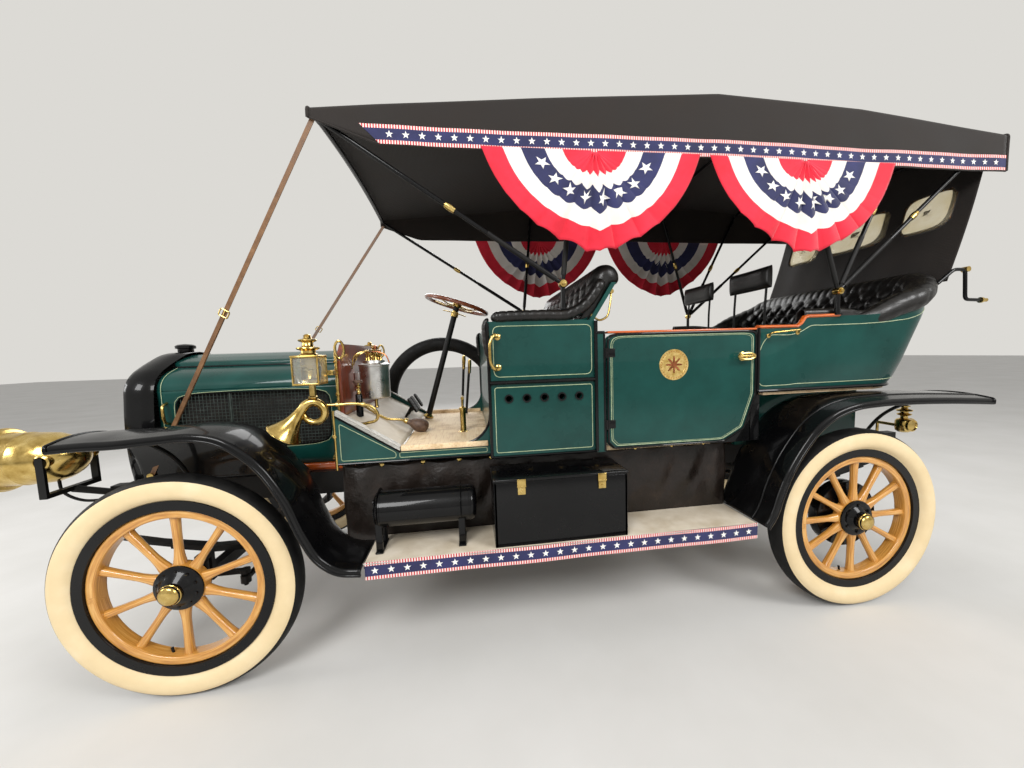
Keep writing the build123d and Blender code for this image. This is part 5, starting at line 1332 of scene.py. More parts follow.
def inflate(piece, cap):
    # cloth with air inside: remeshed evenly, blown up for 20 frames, no point moved further than the cap
    scene = bpy.context.scene
    bpy.context.view_layer.objects.active = piece
    remesh = piece.modifiers.new("even", "REMESH")
    remesh.mode, remesh.voxel_size = "VOXEL", cushionForm["voxel"]
    bpy.ops.object.modifier_apply(modifier="even")
    rest = np.empty(len(piece.data.vertices) * 3)
    piece.data.vertices.foreach_get("co", rest)
    air = piece.modifiers.new("air", "CLOTH")
    air.settings.use_pressure, air.settings.uniform_pressure_force = True, cushionForm["pressure"]
    air.settings.effector_weights.gravity = 0
    air.point_cache.frame_start, air.point_cache.frame_end = 1, 20
    for step in range(1, 21):
        scene.frame_set(step)
    bpy.ops.object.modifier_apply(modifier="air")
    scene.frame_set(1)
    swollen = np.empty_like(rest)
    piece.data.vertices.foreach_get("co", swollen)
    rest, swollen = rest.reshape(-1, 3), swollen.reshape(-1, 3)
    step = swollen - rest
    length = np.linalg.norm(step, axis=1, keepdims=True)
    piece.data.vertices.foreach_set("co",
                                    (rest + step * np.minimum(1, cap / np.maximum(length, 1e-9))).ravel())
    piece.data.update()
    piece.data.shade_smooth()


def gatherTop(piece, low, high, pitch, depth):
    # sewn channels across the crown after the air is in: the hide dips along lines a hand apart
    spots = np.empty(len(piece.data.vertices) * 3)
    piece.data.vertices.foreach_get("co", spots)
    spots = spots.reshape(-1, 3)
    crown = np.clip((spots[:, 2] / mm - (high[2] - 45)) / 30, 0, 1)
    dip = (1 - np.abs(np.sin(pi * (spots[:, 1] / mm) / pitch)) ** 0.5) * depth * mm
    spots[:, 2] -= dip * crown
    spots[:, 2] = np.maximum(spots[:, 2], low[2] * mm)
    piece.data.vertices.foreach_set("co", spots.ravel())
    piece.data.update()


def makeCushions():
    for name, drawnIn in (("front", 12), ("rear", 14)):
        low, high, corner = cushionForm[name]
        low, high = np.array(low, float), np.array(high, float)
        start = low + (drawnIn, drawnIn, 2), high - (drawnIn, drawnIn, 10)
        cushion = makePiece(f"{name}Cushion", [cushionPatch(*start, corner)], "buttonedHide",
                            stands=["seat_cushions"], crease=80)
        inflate(cushion, cushionForm["cap"])
        gatherTop(cushion, low, high, 120, 12)


jumpForm = {"x": -1264, "floor": 880, "seats": ((90, 430), (-430, -90))}


def makeJumpSeats():
    x = jumpForm["x"]
    pads, irons = [], []
    for low, high in jumpForm["seats"]:
        middle, half = (low + high) / 2, (high - low) / 2
        # pad of the seat and the curved pad of the back, both crowned towards the sitter
        pads.append(cushionPatch((x + 32, low, 1302), (x + 340, high, 1354), 40))
        y = middle + half * np.sin(np.linspace(-pi / 2, pi / 2, 34))
        z = 1724 + 60 * np.sin(np.linspace(-pi / 2, pi / 2, 15))
        bulge = np.sqrt(np.clip(1 - ((y - middle) / half) ** 6, 0, 1))[:, None]
        bulge = bulge * np.sqrt(np.clip(1 - ((z - 1724) / 60) ** 4, 0, 1))[None, :]
        bend = 10 * ((y - middle) / half)[:, None] ** 2
        front = grid(x - 4 + bend + 30 * bulge, y[:, None], z[None, :])
        rear = grid(x - 6 + bend - 18 * bulge, y[:, None], z[None, :])
        pads += [patch(front), patch(rear)]
        irons += [turned([(0, 0), (46, 0), (46, 5), (20, 10), (18, 14), (18, 418), (0, 418)],
                         (x + 295, middle, jumpForm["floor"]), axis=(0, 0, 1), steps=24)]
        for y in (low + 42, high - 42):
            irons.append(pipe(curveThrough([(x + 250, y, 1300), (x + 60, y, 1302), (x + 34, y, 1350),
                                            (x + 6, y, 1600), (x - 2, y, 1730)], 26), 6.5, 8, up=(0, 1, 0)))
    seats = makePiece("jumpSeatPads", pads, "buttonedHide", stands=["jump_seats"], crease=60)
    makePiece("jumpSeatIrons", irons, "chassisBlack", stands=["jump_seats"])


makeRearHide()
makeFrontHide()
makeCushions()
makeJumpSeats()
print("leather made")


# fenders, running boards, aprons, tool box and gas tank

wingForm = {
    # line of the fender's crown as (x, z)
    "front": [(1900, 1086), (1800, 1090), (1700, 1090), (1560, 1098), (1440, 1102), (1345, 1082),
              (1262, 1030), (1186, 950),
              (1112, 820), (1050, 655), (1004, 570), (950, 527), (868, 513)],
    "rear": [(-917, 513), (-948, 560), (-985, 660), (-1034, 772), (-1106, 884), (-1190, 980), (-1290, 1042),
             (-1390, 1072),
             (-1520, 1084), (-1700, 1086), (-1900, 1080), (-2080, 1070), (-2184, 1063)],
    "outer": 818, "frontInner": 560, "rearInner": 470, "crown": 16, "gauge": 3.2,
}


def wingSheet(line, inner, outer, count):
    # the crown line carried across: domed by a parabola, its outer lip turned down in a quarter circle
    path = curveThrough(line, count)
    way = unit(np.gradient(path, axis=0))
    normal = np.stack([-way[:, 1], way[:, 0]], axis=-1)
    normal *= np.where(normal[:, 1:] < 0, -1, 1)
    share = np.linspace(0, 1, 16)
    y = inner + (outer - 12 - inner) * share
    drop = wingForm["crown"] * (2 * share - 1) ** 2
    lip = np.linspace(0, pi / 2, 6)[1:]
    y = np.concatenate([y, outer - 12 + 12 * np.sin(lip), [outer, outer]])
    drop = np.concatenate([drop, wingForm["crown"] + 12 * (1 - np.cos(lip)),
                           wingForm["crown"] + np.array([18, 24])])
    x = path[:, :1] - normal[:, :1] * drop[None]
    z = path[:, 1:] - normal[:, 1:] * drop[None]
    return grid(x, y[None], z)


def makeWings():
    form = wingForm
    sheet = wingSheet(form["front"], form["frontInner"], form["outer"], 90)
    patches = [patch(sheet), pipe(sheet[:, -1], 5, 8, up=(0, 1, 0)), pipe(sheet[0], 5, 8, up=(1, 0, 0))]
    # inner valance: a ruled sheet from the wing's inner edge down to the frame rail
    inner = sheet[:60, 0]
    t = np.linspace(0, 1, 18)[None, :, None]
    foot = np.column_stack([np.interp(np.arange(60), [0, 30, 59], [1916, 1500, 1190]), np.full(60, 400.0),
                            np.full(60, 799.0)])
    valance = inner[:, None] * (1 - t) + foot[:, None] * t
    valance[..., 1] -= 34 * np.sin(pi * t[..., 0])
    patches.append(patch(valance))
    makePiece("frontWings", bothSides(patches), "blackEnamel", stands=["front_fenders"], thick=form["gauge"],
              crease=50)
    sheet = wingSheet(form["rear"], form["rearInner"], form["outer"], 90)
    patches = [patch(sheet), pipe(sheet[:, -1], 5, 8, up=(0, 1, 0)), pipe(sheet[-1], 5, 8, up=(1, 0, 0))]
    # a raised bead along the crown's outer third
    patches.append(pipe(sheet[:, 12] + (0, 0, 1), 4, 8, up=(0, 1, 0)))
    makePiece("rearWings", bothSides(patches), "blackEnamel", stands=["rear_fenders"], thick=form["gauge"],
              crease=50)
    stays = []
    for x, z in ((1700, 1078), (1330, 1060), (-1300, 1030), (-1900, 1070)):
        stays.append(pipe(curveThrough([(x, 397, 770), (x, 520, 800 + (z - 800) * 0.5), (x, 700, z - 14)],
                                       16), 9, 8, up=(1, 0, 0)))
    makePiece("wingStays", bothSides(stays), "chassisBlack")


boardForm = {"front": 868, "rear": -917, "inner": 533.3, "outer": 789, "low": 483, "top": 509}


def boardRibbonPoint(station, up, lift=0.0):
    # hangs on the board's outer edge, its upper border level with the tread, softly waved
    return grid(frontAxleX - station, boardForm["outer"] + 2.2 + 1.3 * np.sin(station / 70) + lift,
                437 + up + 1.5 * np.sin(station / 130))


def makeBoards():
    form = boardForm
    front, rear = form["front"], form["rear"]
    deck = block((rear, form["inner"], form["low"]), (front, form["outer"], form["top"] - 3), 4)
    makePiece("boardDecks", bothSides([deck]), "chassisBlack", stands=["running_boards"],
              slot="board_covering")
    cover = block((rear + 4, form["inner"] + 4, form["top"] - 4), (front - 4, form["outer"] - 8, form["top"]),
                  1.5)
    makePiece("boardCovers", bothSides([cover]), "creamLinoleum", stands=["running_boards"])
    inner, outer, z = form["inner"], form["outer"], form["top"] - 5
    edges = [pipe([(rear, outer - 4, z), (front, outer - 4, z)], 6, 8)]
    edges += [pipe([(x, inner, z), (x, outer, z)], 6, 8) for x in (front - 2, rear + 2)]
    makePiece("boardEdges", bothSides(edges), "rolledAluminium")
    ribbon = makeRibbon("boardRibbon", boardRibbonPoint, 722, 2499, 0)


def makeAprons():
    # leather hung from snaps under the body, slack between them and bulging out over the frame
    x = np.linspace(1000, -917, 180)[:, None]
    up = np.linspace(0, 1, 24)[None, :]
    snaps = np.array([1000, 828, 640, 470, 316, 130, -30, -220, -420, -620, -800, -917])[::-1]
    phase = np.interp(x, snaps, np.arange(len(snaps)))
    slack = np.sin(pi * phase) ** 2
    top = 856 - 9 * slack
    z = 484 + (top - 484) * up
    crumple = 7 * np.sin(x / 43 + 6 * up) * np.sin(x / 97 + 2.2 + 3 * up) + 3 * np.sin(x / 19 + 11 * up)
    y = 531 + (10 + 16 * slack) * np.sin(pi * up) ** 0.8 * (0.4 + 0.6 * up) + crumple * np.sin(pi * up)
    y = np.where((x < 340) & (x > -300), np.minimum(y, 552), np.minimum(y, 570))
    leather = patch(grid(x, y, z))
    aprons = makePiece("leatherAprons", bothSides([leather]), "apronLeather", stands=["splash_aprons"],
                       thick=2.5, crease=60)
    snapHeads = [turned([(0, 0), (11, 0), (11, 2), (7, 5), (0, 6)], (spot, 532, 846), steps=20)
                 for spot in snaps[1:-1]]
    makePiece("apronSnaps", bothSides(snapHeads), "buffedBrass")


boxForm = {"front": 324, "rear": -276, "inner": 557, "outer": 775, "floor": 509, "top": 796, "lidTop": 811,
           "wall": 14}


def makeToolBox():
    form = boxForm
    front, rear, inner, outer = form["front"], form["rear"], form["inner"], form["outer"]
    floor, top, wall = form["floor"], form["top"], form["wall"]
    walls = [block((backX, lowY, floor), (frontX, highY, top), 3) for backX, lowY, frontX,
             highY in ((rear, outer - wall, front, outer), (rear, inner, front, inner + wall),
                       (rear, inner, rear + wall, outer), (front - wall, inner, front, outer))]
    walls.append(block((rear + 2, inner + 2, floor), (front - 2, outer - 2, floor + wall), 2))
    makePiece("toolBox", walls, "blackEnamel", stands=["tool_box"])
    lid = [block((rear - 4, inner - 4, top + 0.4), (front + 4, outer + 4, form["lidTop"] - 1), 4)]
    for x in (front - 120, rear + 120):
        lid.append(pipe([(x - 30, inner - 4, top + 7.3), (x + 30, inner - 4, top + 7.3)], 7, 12))
    makePiece("toolBoxLid", lid, "blackEnamel", "tool_box_lid", ["tool_box_lid"])
    hasps = []
    for x in (front - 120, rear + 120):
        hasps += [block((x - 19, outer + 2, top - 18), (x + 19, outer + 8, top + 12), 1.5),
                  pipe([(x - 19, outer + 6, top - 20), (x + 19, outer + 6, top - 20)], 4.5, 10),
                  block((x - 17, outer + 2, top - 56), (x + 17, outer + 7.5, top - 22), 1.5),
                  turned([(0, 0), (6, 0), (6, 4), (0, 6)], (x, outer + 6, top - 42), steps=16)]
    makePiece("boxHasps", hasps, "buffedBrass", "tool_box_lid", ["tool_box_lid"])


tankForm = {"rear": 396, "y": 655, "z": 682, "feet": (818, 466)}


def makeTank():
    rear, y, z = tankForm["rear"], tankForm["y"], tankForm["z"]
    rows = [(0, 0), (30, 1), (60, 6), (73, 14), (78, 26), (78, 28), (80, 29), (80, 35), (78, 36), (78, 412),
            (80, 413), (80, 419), (78, 420), (78, 422), (73, 434), (60, 442), (30, 447), (0, 448)]
    tank = [turned(rows, (rear, y, z), axis=(1, 0, 0), steps=56)]
    tank += [turned([(0, 446), (12, 446), (12, 452), (0, 452)], (rear, y, z + 30), axis=(1, 0, 0), steps=16)]
    for x in tankForm["feet"]:
        strap = np.linspace(-0.15 * pi, 1.15 * pi, 32)
        tank.append(pipe(np.column_stack([np.full(32, x), y + 80 * np.cos(strap), z + 80 * np.sin(strap)]),
                         12, 8, up=(1, 0, 0), flat=0.25))
        tank += [block((x - 14, y - 58, 509), (x + 14, y - 44, 640), 2),
                 block((x - 14, y + 44, 509), (x + 14, y + 58, 640), 2),
                 block((x - 16, y - 66, 509), (x + 16, y + 72, 516), 2)]
    makePiece("gasTank", tank, "blackEnamel", stands=["acetylene_tank"])


makeWings()
makeBoards()
makeAprons()
makeToolBox()
makeTank()
print("fenders and boards made")


# lamps, horn, controls, irons and straps

lampForm = {
    "headlamp": {"front": 2376, "y": 470, "z": 962},
    # radius, distance behind the front rim
    "drum": [(118, 14), (126, 4), (130, 0), (134, 4), (134, 12), (129, 18), (127, 26), (116, 34), (112, 50),
             (111, 96), (113, 99),
             (113, 105), (111, 108), (109, 160), (106, 200), (101, 214),
             (92, 240), (74, 268), (50, 290), (24, 305), (0, 311)],
    "sideLamp": {"x": 1101, "y": 555, "z": 1235, "half": 55},
    "tailLamp": {"x": -2013, "y": 545, "z": 900},
}


def makeHeadlamps():
    spot = lampForm["headlamp"]
    front = (spot["front"], spot["y"], spot["z"])
    brass = [turned(lampForm["drum"], front, axis=(-1, 0, 0), steps=72)]
    # reflector bowl and burner inside, bead rings, side knobs, the hinge and catch of the door
    brass += [turned([(118, 14), (110, 22), (86, 62), (50, 96), (12, 110), (0, 111)], front, axis=(-1, 0, 0),
                     steps=56)]
    brass += [turned([(0, 60), (9, 62), (9, 108), (0, 110)], front, axis=(-1, 0, 0), steps=16)]
    x, y, z = front
    for sign in (1, -1):
        brass += [turned([(0, -24), (22, -24), (22, 0), (30, 2), (30, 8), (24, 12), (21, 7), (10, 7), (8, 14),
                          (0, 15)], (x - 236, y + sign * 102, z), axis=(0, sign, 0), steps=28)]
    brass += [block((x - 22, y + 126, z - 20), (x - 6, y + 142, z + 20), 4),
              block((x - 22, y - 142, z - 12), (x - 6, y - 126, z + 12), 4)]
    makePiece("headlamps", bothSides(brass), "buffedBrass", stands=["headlamps"], crease=32)
    lens = [turned([(0, 6), (60, 8), (118, 14)], front, axis=(-1, 0, 0), steps=48)]
    makePiece("headlampGlass", bothSides(lens), "plateGlass", thick=2)
    # gas pipe from the lamp's foot back to the frame
    pipeLine = curveThrough([(x - 190, y, z - 104), (x - 196, y, z - 150), (x - 250, y - 20, z - 205),
                             (x - 330, y - 60, z - 215), (x - 400, y - 80, z - 190)], 40)
    makePiece("lampGasPipes", bothSides([pipe(pipeLine, 6, 10)]), "chassisBlack")


def makeSideLamps():
    spot = lampForm["sideLamp"]
    x, y, z, h = spot["x"], spot["y"], spot["z"], spot["half"]
    brass = [block((x - h, y - h, z), (x + h, y + h, z + 10), 3),
             block((x - h - 2, y - h - 2, z + 118), (x + h + 2, y + h + 2, z + 130), 4)]
    for postX in (x - h + 3, x + h - 3):
        for postY in (y - h + 3, y + h - 3):
            brass.append(block((postX - 3, postY - 3, z), (postX + 3, postY + 3, z + 122), 1.5, along=2))
    # font and burner within, two-tiered chimney above, crown and finial
    brass += [turned([(0, 8), (30, 8), (30, 26), (14, 32), (8, 44), (8, 66), (0, 68)], (x, y, z),
                     axis=(0, 0, 1), steps=28)]
    tiers = [(0, 128), (38, 128), (38, 134), (30, 139), (29, 150), (44, 156), (47, 160), (46, 164), (26, 169),
             (23, 174), (22, 186), (35, 191), (38, 195), (36, 199), (18, 204), (14, 212), (16, 216), (9, 222),
             (0, 224)]
    brass += [turned(tiers, (x, y, z), axis=(0, 0, 1), steps=36)]
    # solid back plate towards the bonnet and the bracket from the dash's post
    brass += [block((x - h + 4, y - h + 1, z + 8), (x + h - 4, y - h + 5, z + 120), 1.5)]
    brass += [block((1018, 446, z + 36), (x - h + 2, y - h + 14, z + 60), 4),
              turned([(0, -8), (13, -8), (13, 8), (0, 8)], (1026, 452, z + 48), steps=20)]
    makePiece("sideLamps", bothSides(brass), "buffedBrass", stands=["side_and_tail_lamps"])
    glass = [block((x - h + 9, y + h - 7, z + 9), (x + h - 9, y + h - 3, z + 119), 1.5),
             block((x + h - 7, y - h + 9, z + 9), (x + h - 3, y + h - 9, z + 119), 1.5),
             block((x - h + 3, y - h + 9, z + 9), (x - h + 7, y + h - 9, z + 119), 1.5)]
    makePiece("sideLampGlass", bothSides(glass), "plateGlass")


def makeTailLamp():
    spot = lampForm["tailLamp"]
    x, y, z = spot["x"], spot["y"], spot["z"]
    rows = [(0, -64), (24, -64), (36, -55), (39, -38), (39, -4), (33, 8), (18, 14), (16, 22), (18, 28),
            (30, 32), (33, 36), (30, 40), (18, 44), (17, 50), (34, 54), (37, 58), (34, 62), (16, 68),
            (14, 76), (24, 80), (24, 84), (10, 89), (0, 92)]
    brass = [turned(rows, (x, y, z), axis=(0, 0, 1), steps=36)]
    for way in ((0, 1, 0), (-1, 0, 0)):
        brass.append(turned([(0, 30), (29, 30), (33, 34), (33, 46), (28, 48), (24, 43), (0, 46)],
                            (x, y, z - 22), axis=way, steps=32))
    brass += [block((x - 8, 397, z - 40), (x + 8, y - 30, z - 24), 3),
              block((x - 8, 397, z - 165), (x + 8, 406, z - 26), 3)]
    makePiece("tailLamp", brass, "buffedBrass", stands=["side_and_tail_lamps"])


hornForm = {"coil": (1096, 555, 1112), "radius": 46, "loopX": 836}


def makeHorn():
    (x, y, z), coilRadius = hornForm["coil"], hornForm["radius"]
    # mouth pipe, one and a third turns of the coil with a growing bore, then the bell
    turn = np.linspace(2 * pi + 2.5, 0.5, 70)
    coil = np.column_stack([x + coilRadius * np.cos(turn), y - 12 + 24 * np.linspace(0, 1, 70),
                            z + coilRadius * np.sin(turn)])
    way = np.array((0.6, 0.05, -0.798))
    bellReach = np.array([10, 30, 55, 80, 102, 120, 133, 141])
    bell = coil[-1] + way * bellReach[:, None]
    path = np.vstack([coil, bell])
    bore = np.concatenate([np.linspace(8, 20, 70), [21, 23, 28, 36, 47, 58, 68, 73]])
    horn = [pipe(path, bore, 24, up=(0, 1, 0))]
    # the bell's hollow and its rolled rim
    mouth = coil[-1] + way * 141
    horn.append(turned([(73, 0), (69, -4), (55, -18), (40, -36), (22, -66), (0, -70)], mouth, axis=way,
                       steps=40))
    rim = ringAt(mouth, (0, 73, 0), 73 * np.cross(way, (0, 1, 0)), 48)
    horn.append(pipe(rim, 3.2, 8, up=way, closed=True))
    horn += [turned([(0, 40), (14, 40), (14, 60), (20, 64), (20, 70), (14, 74), (14, 122), (0, 122)],
                    (x, y, z), axis=(0, 0, 1), steps=20)]
    start = coil[0]
    loop = hornForm["loopX"]
    tube = curveThrough([tuple(start), (x - 80, y - 12, z + 27), (loop + 74, y - 14, z + 26),
                         (loop + 22, y - 18, z + 12), (loop - 4, y - 26, z - 22), (loop + 6, y - 36, z - 56),
                         (loop + 44, y - 44, z - 68), (931, y - 50, 1036)], 90)
    horn.append(pipe(tube, 7, 12))
    for k in (14, 40):
        horn.append(turned([(0, -8), (10, -8), (11, 0), (10, 8), (0, 8)], tube[k], axis=(1, 0, 0), steps=16))
    makePiece("horn", horn, "buffedBrass", stands=["horn"], crease=50)
    axis, spot = (0.94, 0, 0.342), np.array((696, 150, 959))
    bulb = curveThrough([(0, -53), (14, -51), (28, -43), (36, -26), (39, -4), (36, 16), (27, 36), (18, 50),
                         (14, 62), (13, 74)], 40)
    makePiece("hornBulb", [turned(np.vstack([bulb, [(0, 74)]]), spot, axis=axis, steps=40)], "bulbRubber",
              stands=["horn_bulb"])
    neck = curveThrough([tuple(spot + np.array(axis) * 66), tuple(spot + np.array(axis) * 96),
                         (866, 150, 1003), (940, 150, 1047), (1000, 150, 1094)], 40)
    brass = [pipe(neck, 7, 12), turned([(0, 66), (15, 66), (16, 72), (12, 84), (9, 90), (0, 90)], spot,
                                       axis=axis, steps=20)]
    makePiece("hornPipe", brass, "buffedBrass", stands=["horn_bulb"])


def makeDashFittings():
    x, y = 908, 200
    nickel = [turned([(0, 1128), (68, 1128), (74, 1132), (76, 1140), (76, 1298), (79, 1300), (79, 1310),
                      (72, 1313), (56, 1318), (54, 1331), (0, 1334)], (x, y, 0), axis=(0, 0, 1), steps=64)]
    nickel += [block((x + 60, y - 24, 1170), (1006, y + 24, 1270), 4)]
    makePiece("oiler", nickel, "nickelPlate", stands=["dash_fittings"])
    brass = [turned([(0, 1075), (10, 1075), (12, 1080), (9, 1090), (9, 1120), (26, 1124), (30, 1130),
                     (0, 1130)], (x, y, 0), axis=(0, 0, 1), steps=24)]
    # sight feeds on the lid, joined by a ring main, each with its needle knob
    brass.append(pipe(ringAt((x, y, 1352), (36, 0, 0), (0, 36, 0), 40), 4, 8, closed=True))
    for k in range(6):
        turn = 2 * pi * k / 6
        spot = (x + 36 * cos(turn), y + 36 * sin(turn), 0)
        brass.append(turned([(0, 1318), (9, 1318), (9, 1338), (6, 1342), (6, 1358), (10, 1362), (10, 1368),
                             (4, 1372), (4, 1382), (8, 1384), (8, 1388), (0, 1390)], spot, axis=(0, 0, 1),
                            steps=14))
    brass.append(turned([(0, 1330), (12, 1330), (12, 1350), (5, 1356), (5, 1396), (14, 1399), (14, 1404),
                         (0, 1406)], (x, y, 0), axis=(0, 0, 1), steps=18))
    for k, reach in enumerate((-34, 0, 34)):
        line = curveThrough([(x + 36 * cos(0.5 + k), y + 36 * sin(0.5 + k), 1352),
                             (x + 20, y + 50 + reach, 1380), (x + 70, y + 60 + reach, 1360),
                             (1002, y + 40 + reach, 1330 - 20 * k)], 30)
        brass.append(pipe(line, 3.2, 8))
    makePiece("oilerFeeds", brass, "buffedBrass", stands=["dash_fittings"])
    # pipes that drop from the sight feeds over the can's side, and the
    # slim accumulator tube with its cock and cap
    drops = [pipe(curveThrough([(x + 20, y + 50, 1372), (x - 30, y + 66, 1376), (x - 78, y + 78, 1356),
                                (x - 96, y + 84, 1316)], 24), 3.4, 8),
             turned([(0, 1392), (11, 1392), (13, 1396), (13, 1406), (6, 1410), (0, 1412)], (x - 10, y, 0),
                    axis=(0, 0, 1), steps=18)]
    makePiece("oilerPipes", drops, "drawnCopper")
    slim = (962, 330, 0)
    makePiece("accumulatorTube", [turned([(0, 1050), (17, 1050), (17, 1160), (14, 1164), (0, 1164)], slim,
                                         axis=(0, 0, 1), steps=28)], "blackEnamel", slot="black_iron")
    cock = [turned([(0, 1162), (10, 1162), (11, 1172), (7, 1178), (7, 1196), (12, 1202), (12, 1208),
                    (5, 1212), (5, 1222), (0, 1222)], slim, axis=(0, 0, 1), steps=20),
            pipe([(962, 306, 1188), (962, 354, 1188)], 4, 8)]
    makePiece("accumulatorCock", cock, "buffedBrass")
    makePiece("accumulatorCap", [turned([(0, 1220), (20, 1220), (23, 1224), (23, 1231), (18, 1236),
                                         (0, 1237)], slim, axis=(0, 0, 1), steps=28)], "bulbRubber")
    # hand pump with its T handle, pedals on their stems
    pump = [turned([(0, 915), (30, 915), (30, 919), (18, 923), (16, 930), (16, 1040), (20, 1042), (20, 1052),
                    (12, 1056), (7, 1058), (7, 1106), (0, 1106)], (449, 200, 0), axis=(0, 0, 1), steps=24),
            pipe([(449, 162, 1108), (449, 238, 1108)], 9, 12)]
    posts = [block((1018, 440.3, 828), (1030, 452.3, 1406), 3, along=2)]
    for z in (860, 1010, 1180, 1330):
        posts.append(turned([(0, 0), (9, 0), (9, 4), (0, 6)], (1024, 452, z), steps=14))
    posts.append(pipe(ringAt((1004, 450, 1388), (20, 0, 0), (0, 0, 40), 40), 6, 8, up=(0, 1, 0), closed=True))
    makePiece("pumpAndPosts", pump + bothSides(posts), "buffedBrass", stands=["dash_fittings"])
    pedals = []
    for spot, wide in ((-150, 46), (-262, 46), (-430, 34)):
        stem = curveThrough([(838, spot, 926), (806, spot, 976), (778, spot, 1024)], 12)
        pedals.append(pipe(stem, 8, 8, up=(0, 1, 0)))
        # the pad: a rounded oblong that faces the driver's foot, ribbed across
        pad = roundedPath([(-52, -wide), (52, -wide), (52, wide), (-52, wide)], 26, closed=True)
        lean = np.array((0.5, 0, 0.866)), np.array((-0.866, 0, 0.5))
        rows = [np.array((772, spot, 1034)) + lean[0] * pad[:, :1] * s + np.array((0, 1, 0)) * pad[:, 1:] * s
                + lean[1] * d for s, d in ((0, 0), (0.94, 0), (1, 3), (1, 9), (0.94, 12), (0.1, 12))]
        pedals.append(patch(np.stack(rows), across=True))
        for reach in (-30, -10, 10, 30):
            spine = np.array((772, spot, 1034)) + lean[0] * reach + lean[1] * 12.5
            pedals.append(pipe([spine - (0, wide * 0.8, 0), spine + (0, wide * 0.8, 0)], 3, 6, up=(1, 0, 0)))
    makePiece("pedals", pedals, "chassisBlack")


steerForm = {"head": (465, -330, 1680), "foot": (716, -330, 855), "radius": 205, "tube": 14}


def makeSteering():
    head, foot = np.array(steerForm["head"], float), np.array(steerForm["foot"], float)
    way = unit(head - foot)
    side = np.array((0, 1.0, 0))
    over = np.cross(side, way)
    angle = np.linspace(0, 2 * pi, 96, endpoint=False)[:, None]
    grip = steerForm["tube"] - 1.2 * np.abs(np.sin(24 * angle[:, 0])) ** 3
    rim = head + steerForm["radius"] * (np.cos(angle) * side + np.sin(angle) * over)
    makePiece("steeringRim", [pipe(rim, grip, 16, up=tuple(way), closed=True)], "polishedWalnut",
              "steering_wheel", ["steering_wheel"])
    spider = [turned([(0, -14), (30, -14), (34, -8), (34, 6), (26, 14), (14, 20), (0, 22)], head, axis=way,
                     steps=32)]
    for k in range(4):
        out = np.cos(pi / 2 * k + 0.6) * side + np.sin(pi / 2 * k + 0.6) * over
        arm = curveThrough([tuple(head + out * 24 - way * 2), tuple(head + out * 90 - way * 12),
                            tuple(head + out * 194)], 20)
        spider.append(pipe(arm, np.linspace(9, 6.5, 20), 10, up=tuple(way), flat=0.6))
    makePiece("steeringSpider", spider, "buffedBrass", "steering_wheel", ["steering_wheel"])
    # throttle lever on its quadrant below the rim, collar and the brass heads of the hand levers
    quadrant = np.linspace(-0.9, 0.9, 24)[:, None]
    hub = head - way * 62
    brass = [pipe(hub + 96 * (np.cos(quadrant) * side + np.sin(quadrant) * over), 3.5, 8, up=tuple(way)),
             pipe([tuple(hub), tuple(hub + 120 * side)], 4, 8),
             turned([(0, 0), (9, 0), (9, 22), (0, 24)], hub + 118 * side, axis=side, steps=14),
             turned([(19.5, -20), (25, -18), (25, 14), (19.5, 18)], hub, axis=way, steps=24, closed=True),
             turned([(19.5, 4), (34, 6), (34, 14), (19.5, 30)], foot + way * 70, axis=way, steps=28,
                    closed=True)]
    for x, y, z in ((436, -500, 1330), (396, -470, 1300)):
        brass += [turned([(0, -90), (11, -90), (12, -60), (14, -20), (12, 6), (0, 14)], (x, y, z),
                         axis=(-0.06, 0, 1), steps=18)]
    makePiece("controlBrass", brass, "buffedBrass")


ironForm = {"radius": 10, "shoulderY": 648,
            "front": {"stations": (612, 1702), "pivot": (-35, 624, 1655), "foot": 1537},
            "rear": {"stations": (2754, 3403, 3890), "pivot": (-1422, 671, 1603), "foot": 1486}}


def bowPath(station, pivot):
    # from the pivot straight to the roof's shoulder, round it and over to the other side under the crown
    edge, crown = (along(topForm["sections"], station, k) for k in (1, 2))
    x, half = at(station), ironForm["shoulderY"]
    over = np.linspace(half - 40, 0, 24)
    roof = edge - 19 + crown * (1 - (over / 666) ** 2) - topForm["sag"] * 0.2
    left = roundedPath([pivot, (x, half, edge - 22), (x, half - 60, roof[0] - 1)], 30, steps=8)
    left = np.vstack([left, np.column_stack([np.full(24, x), over, roof])])
    return np.vstack([left, (left * (1, -1, 1))[-2::-1]])


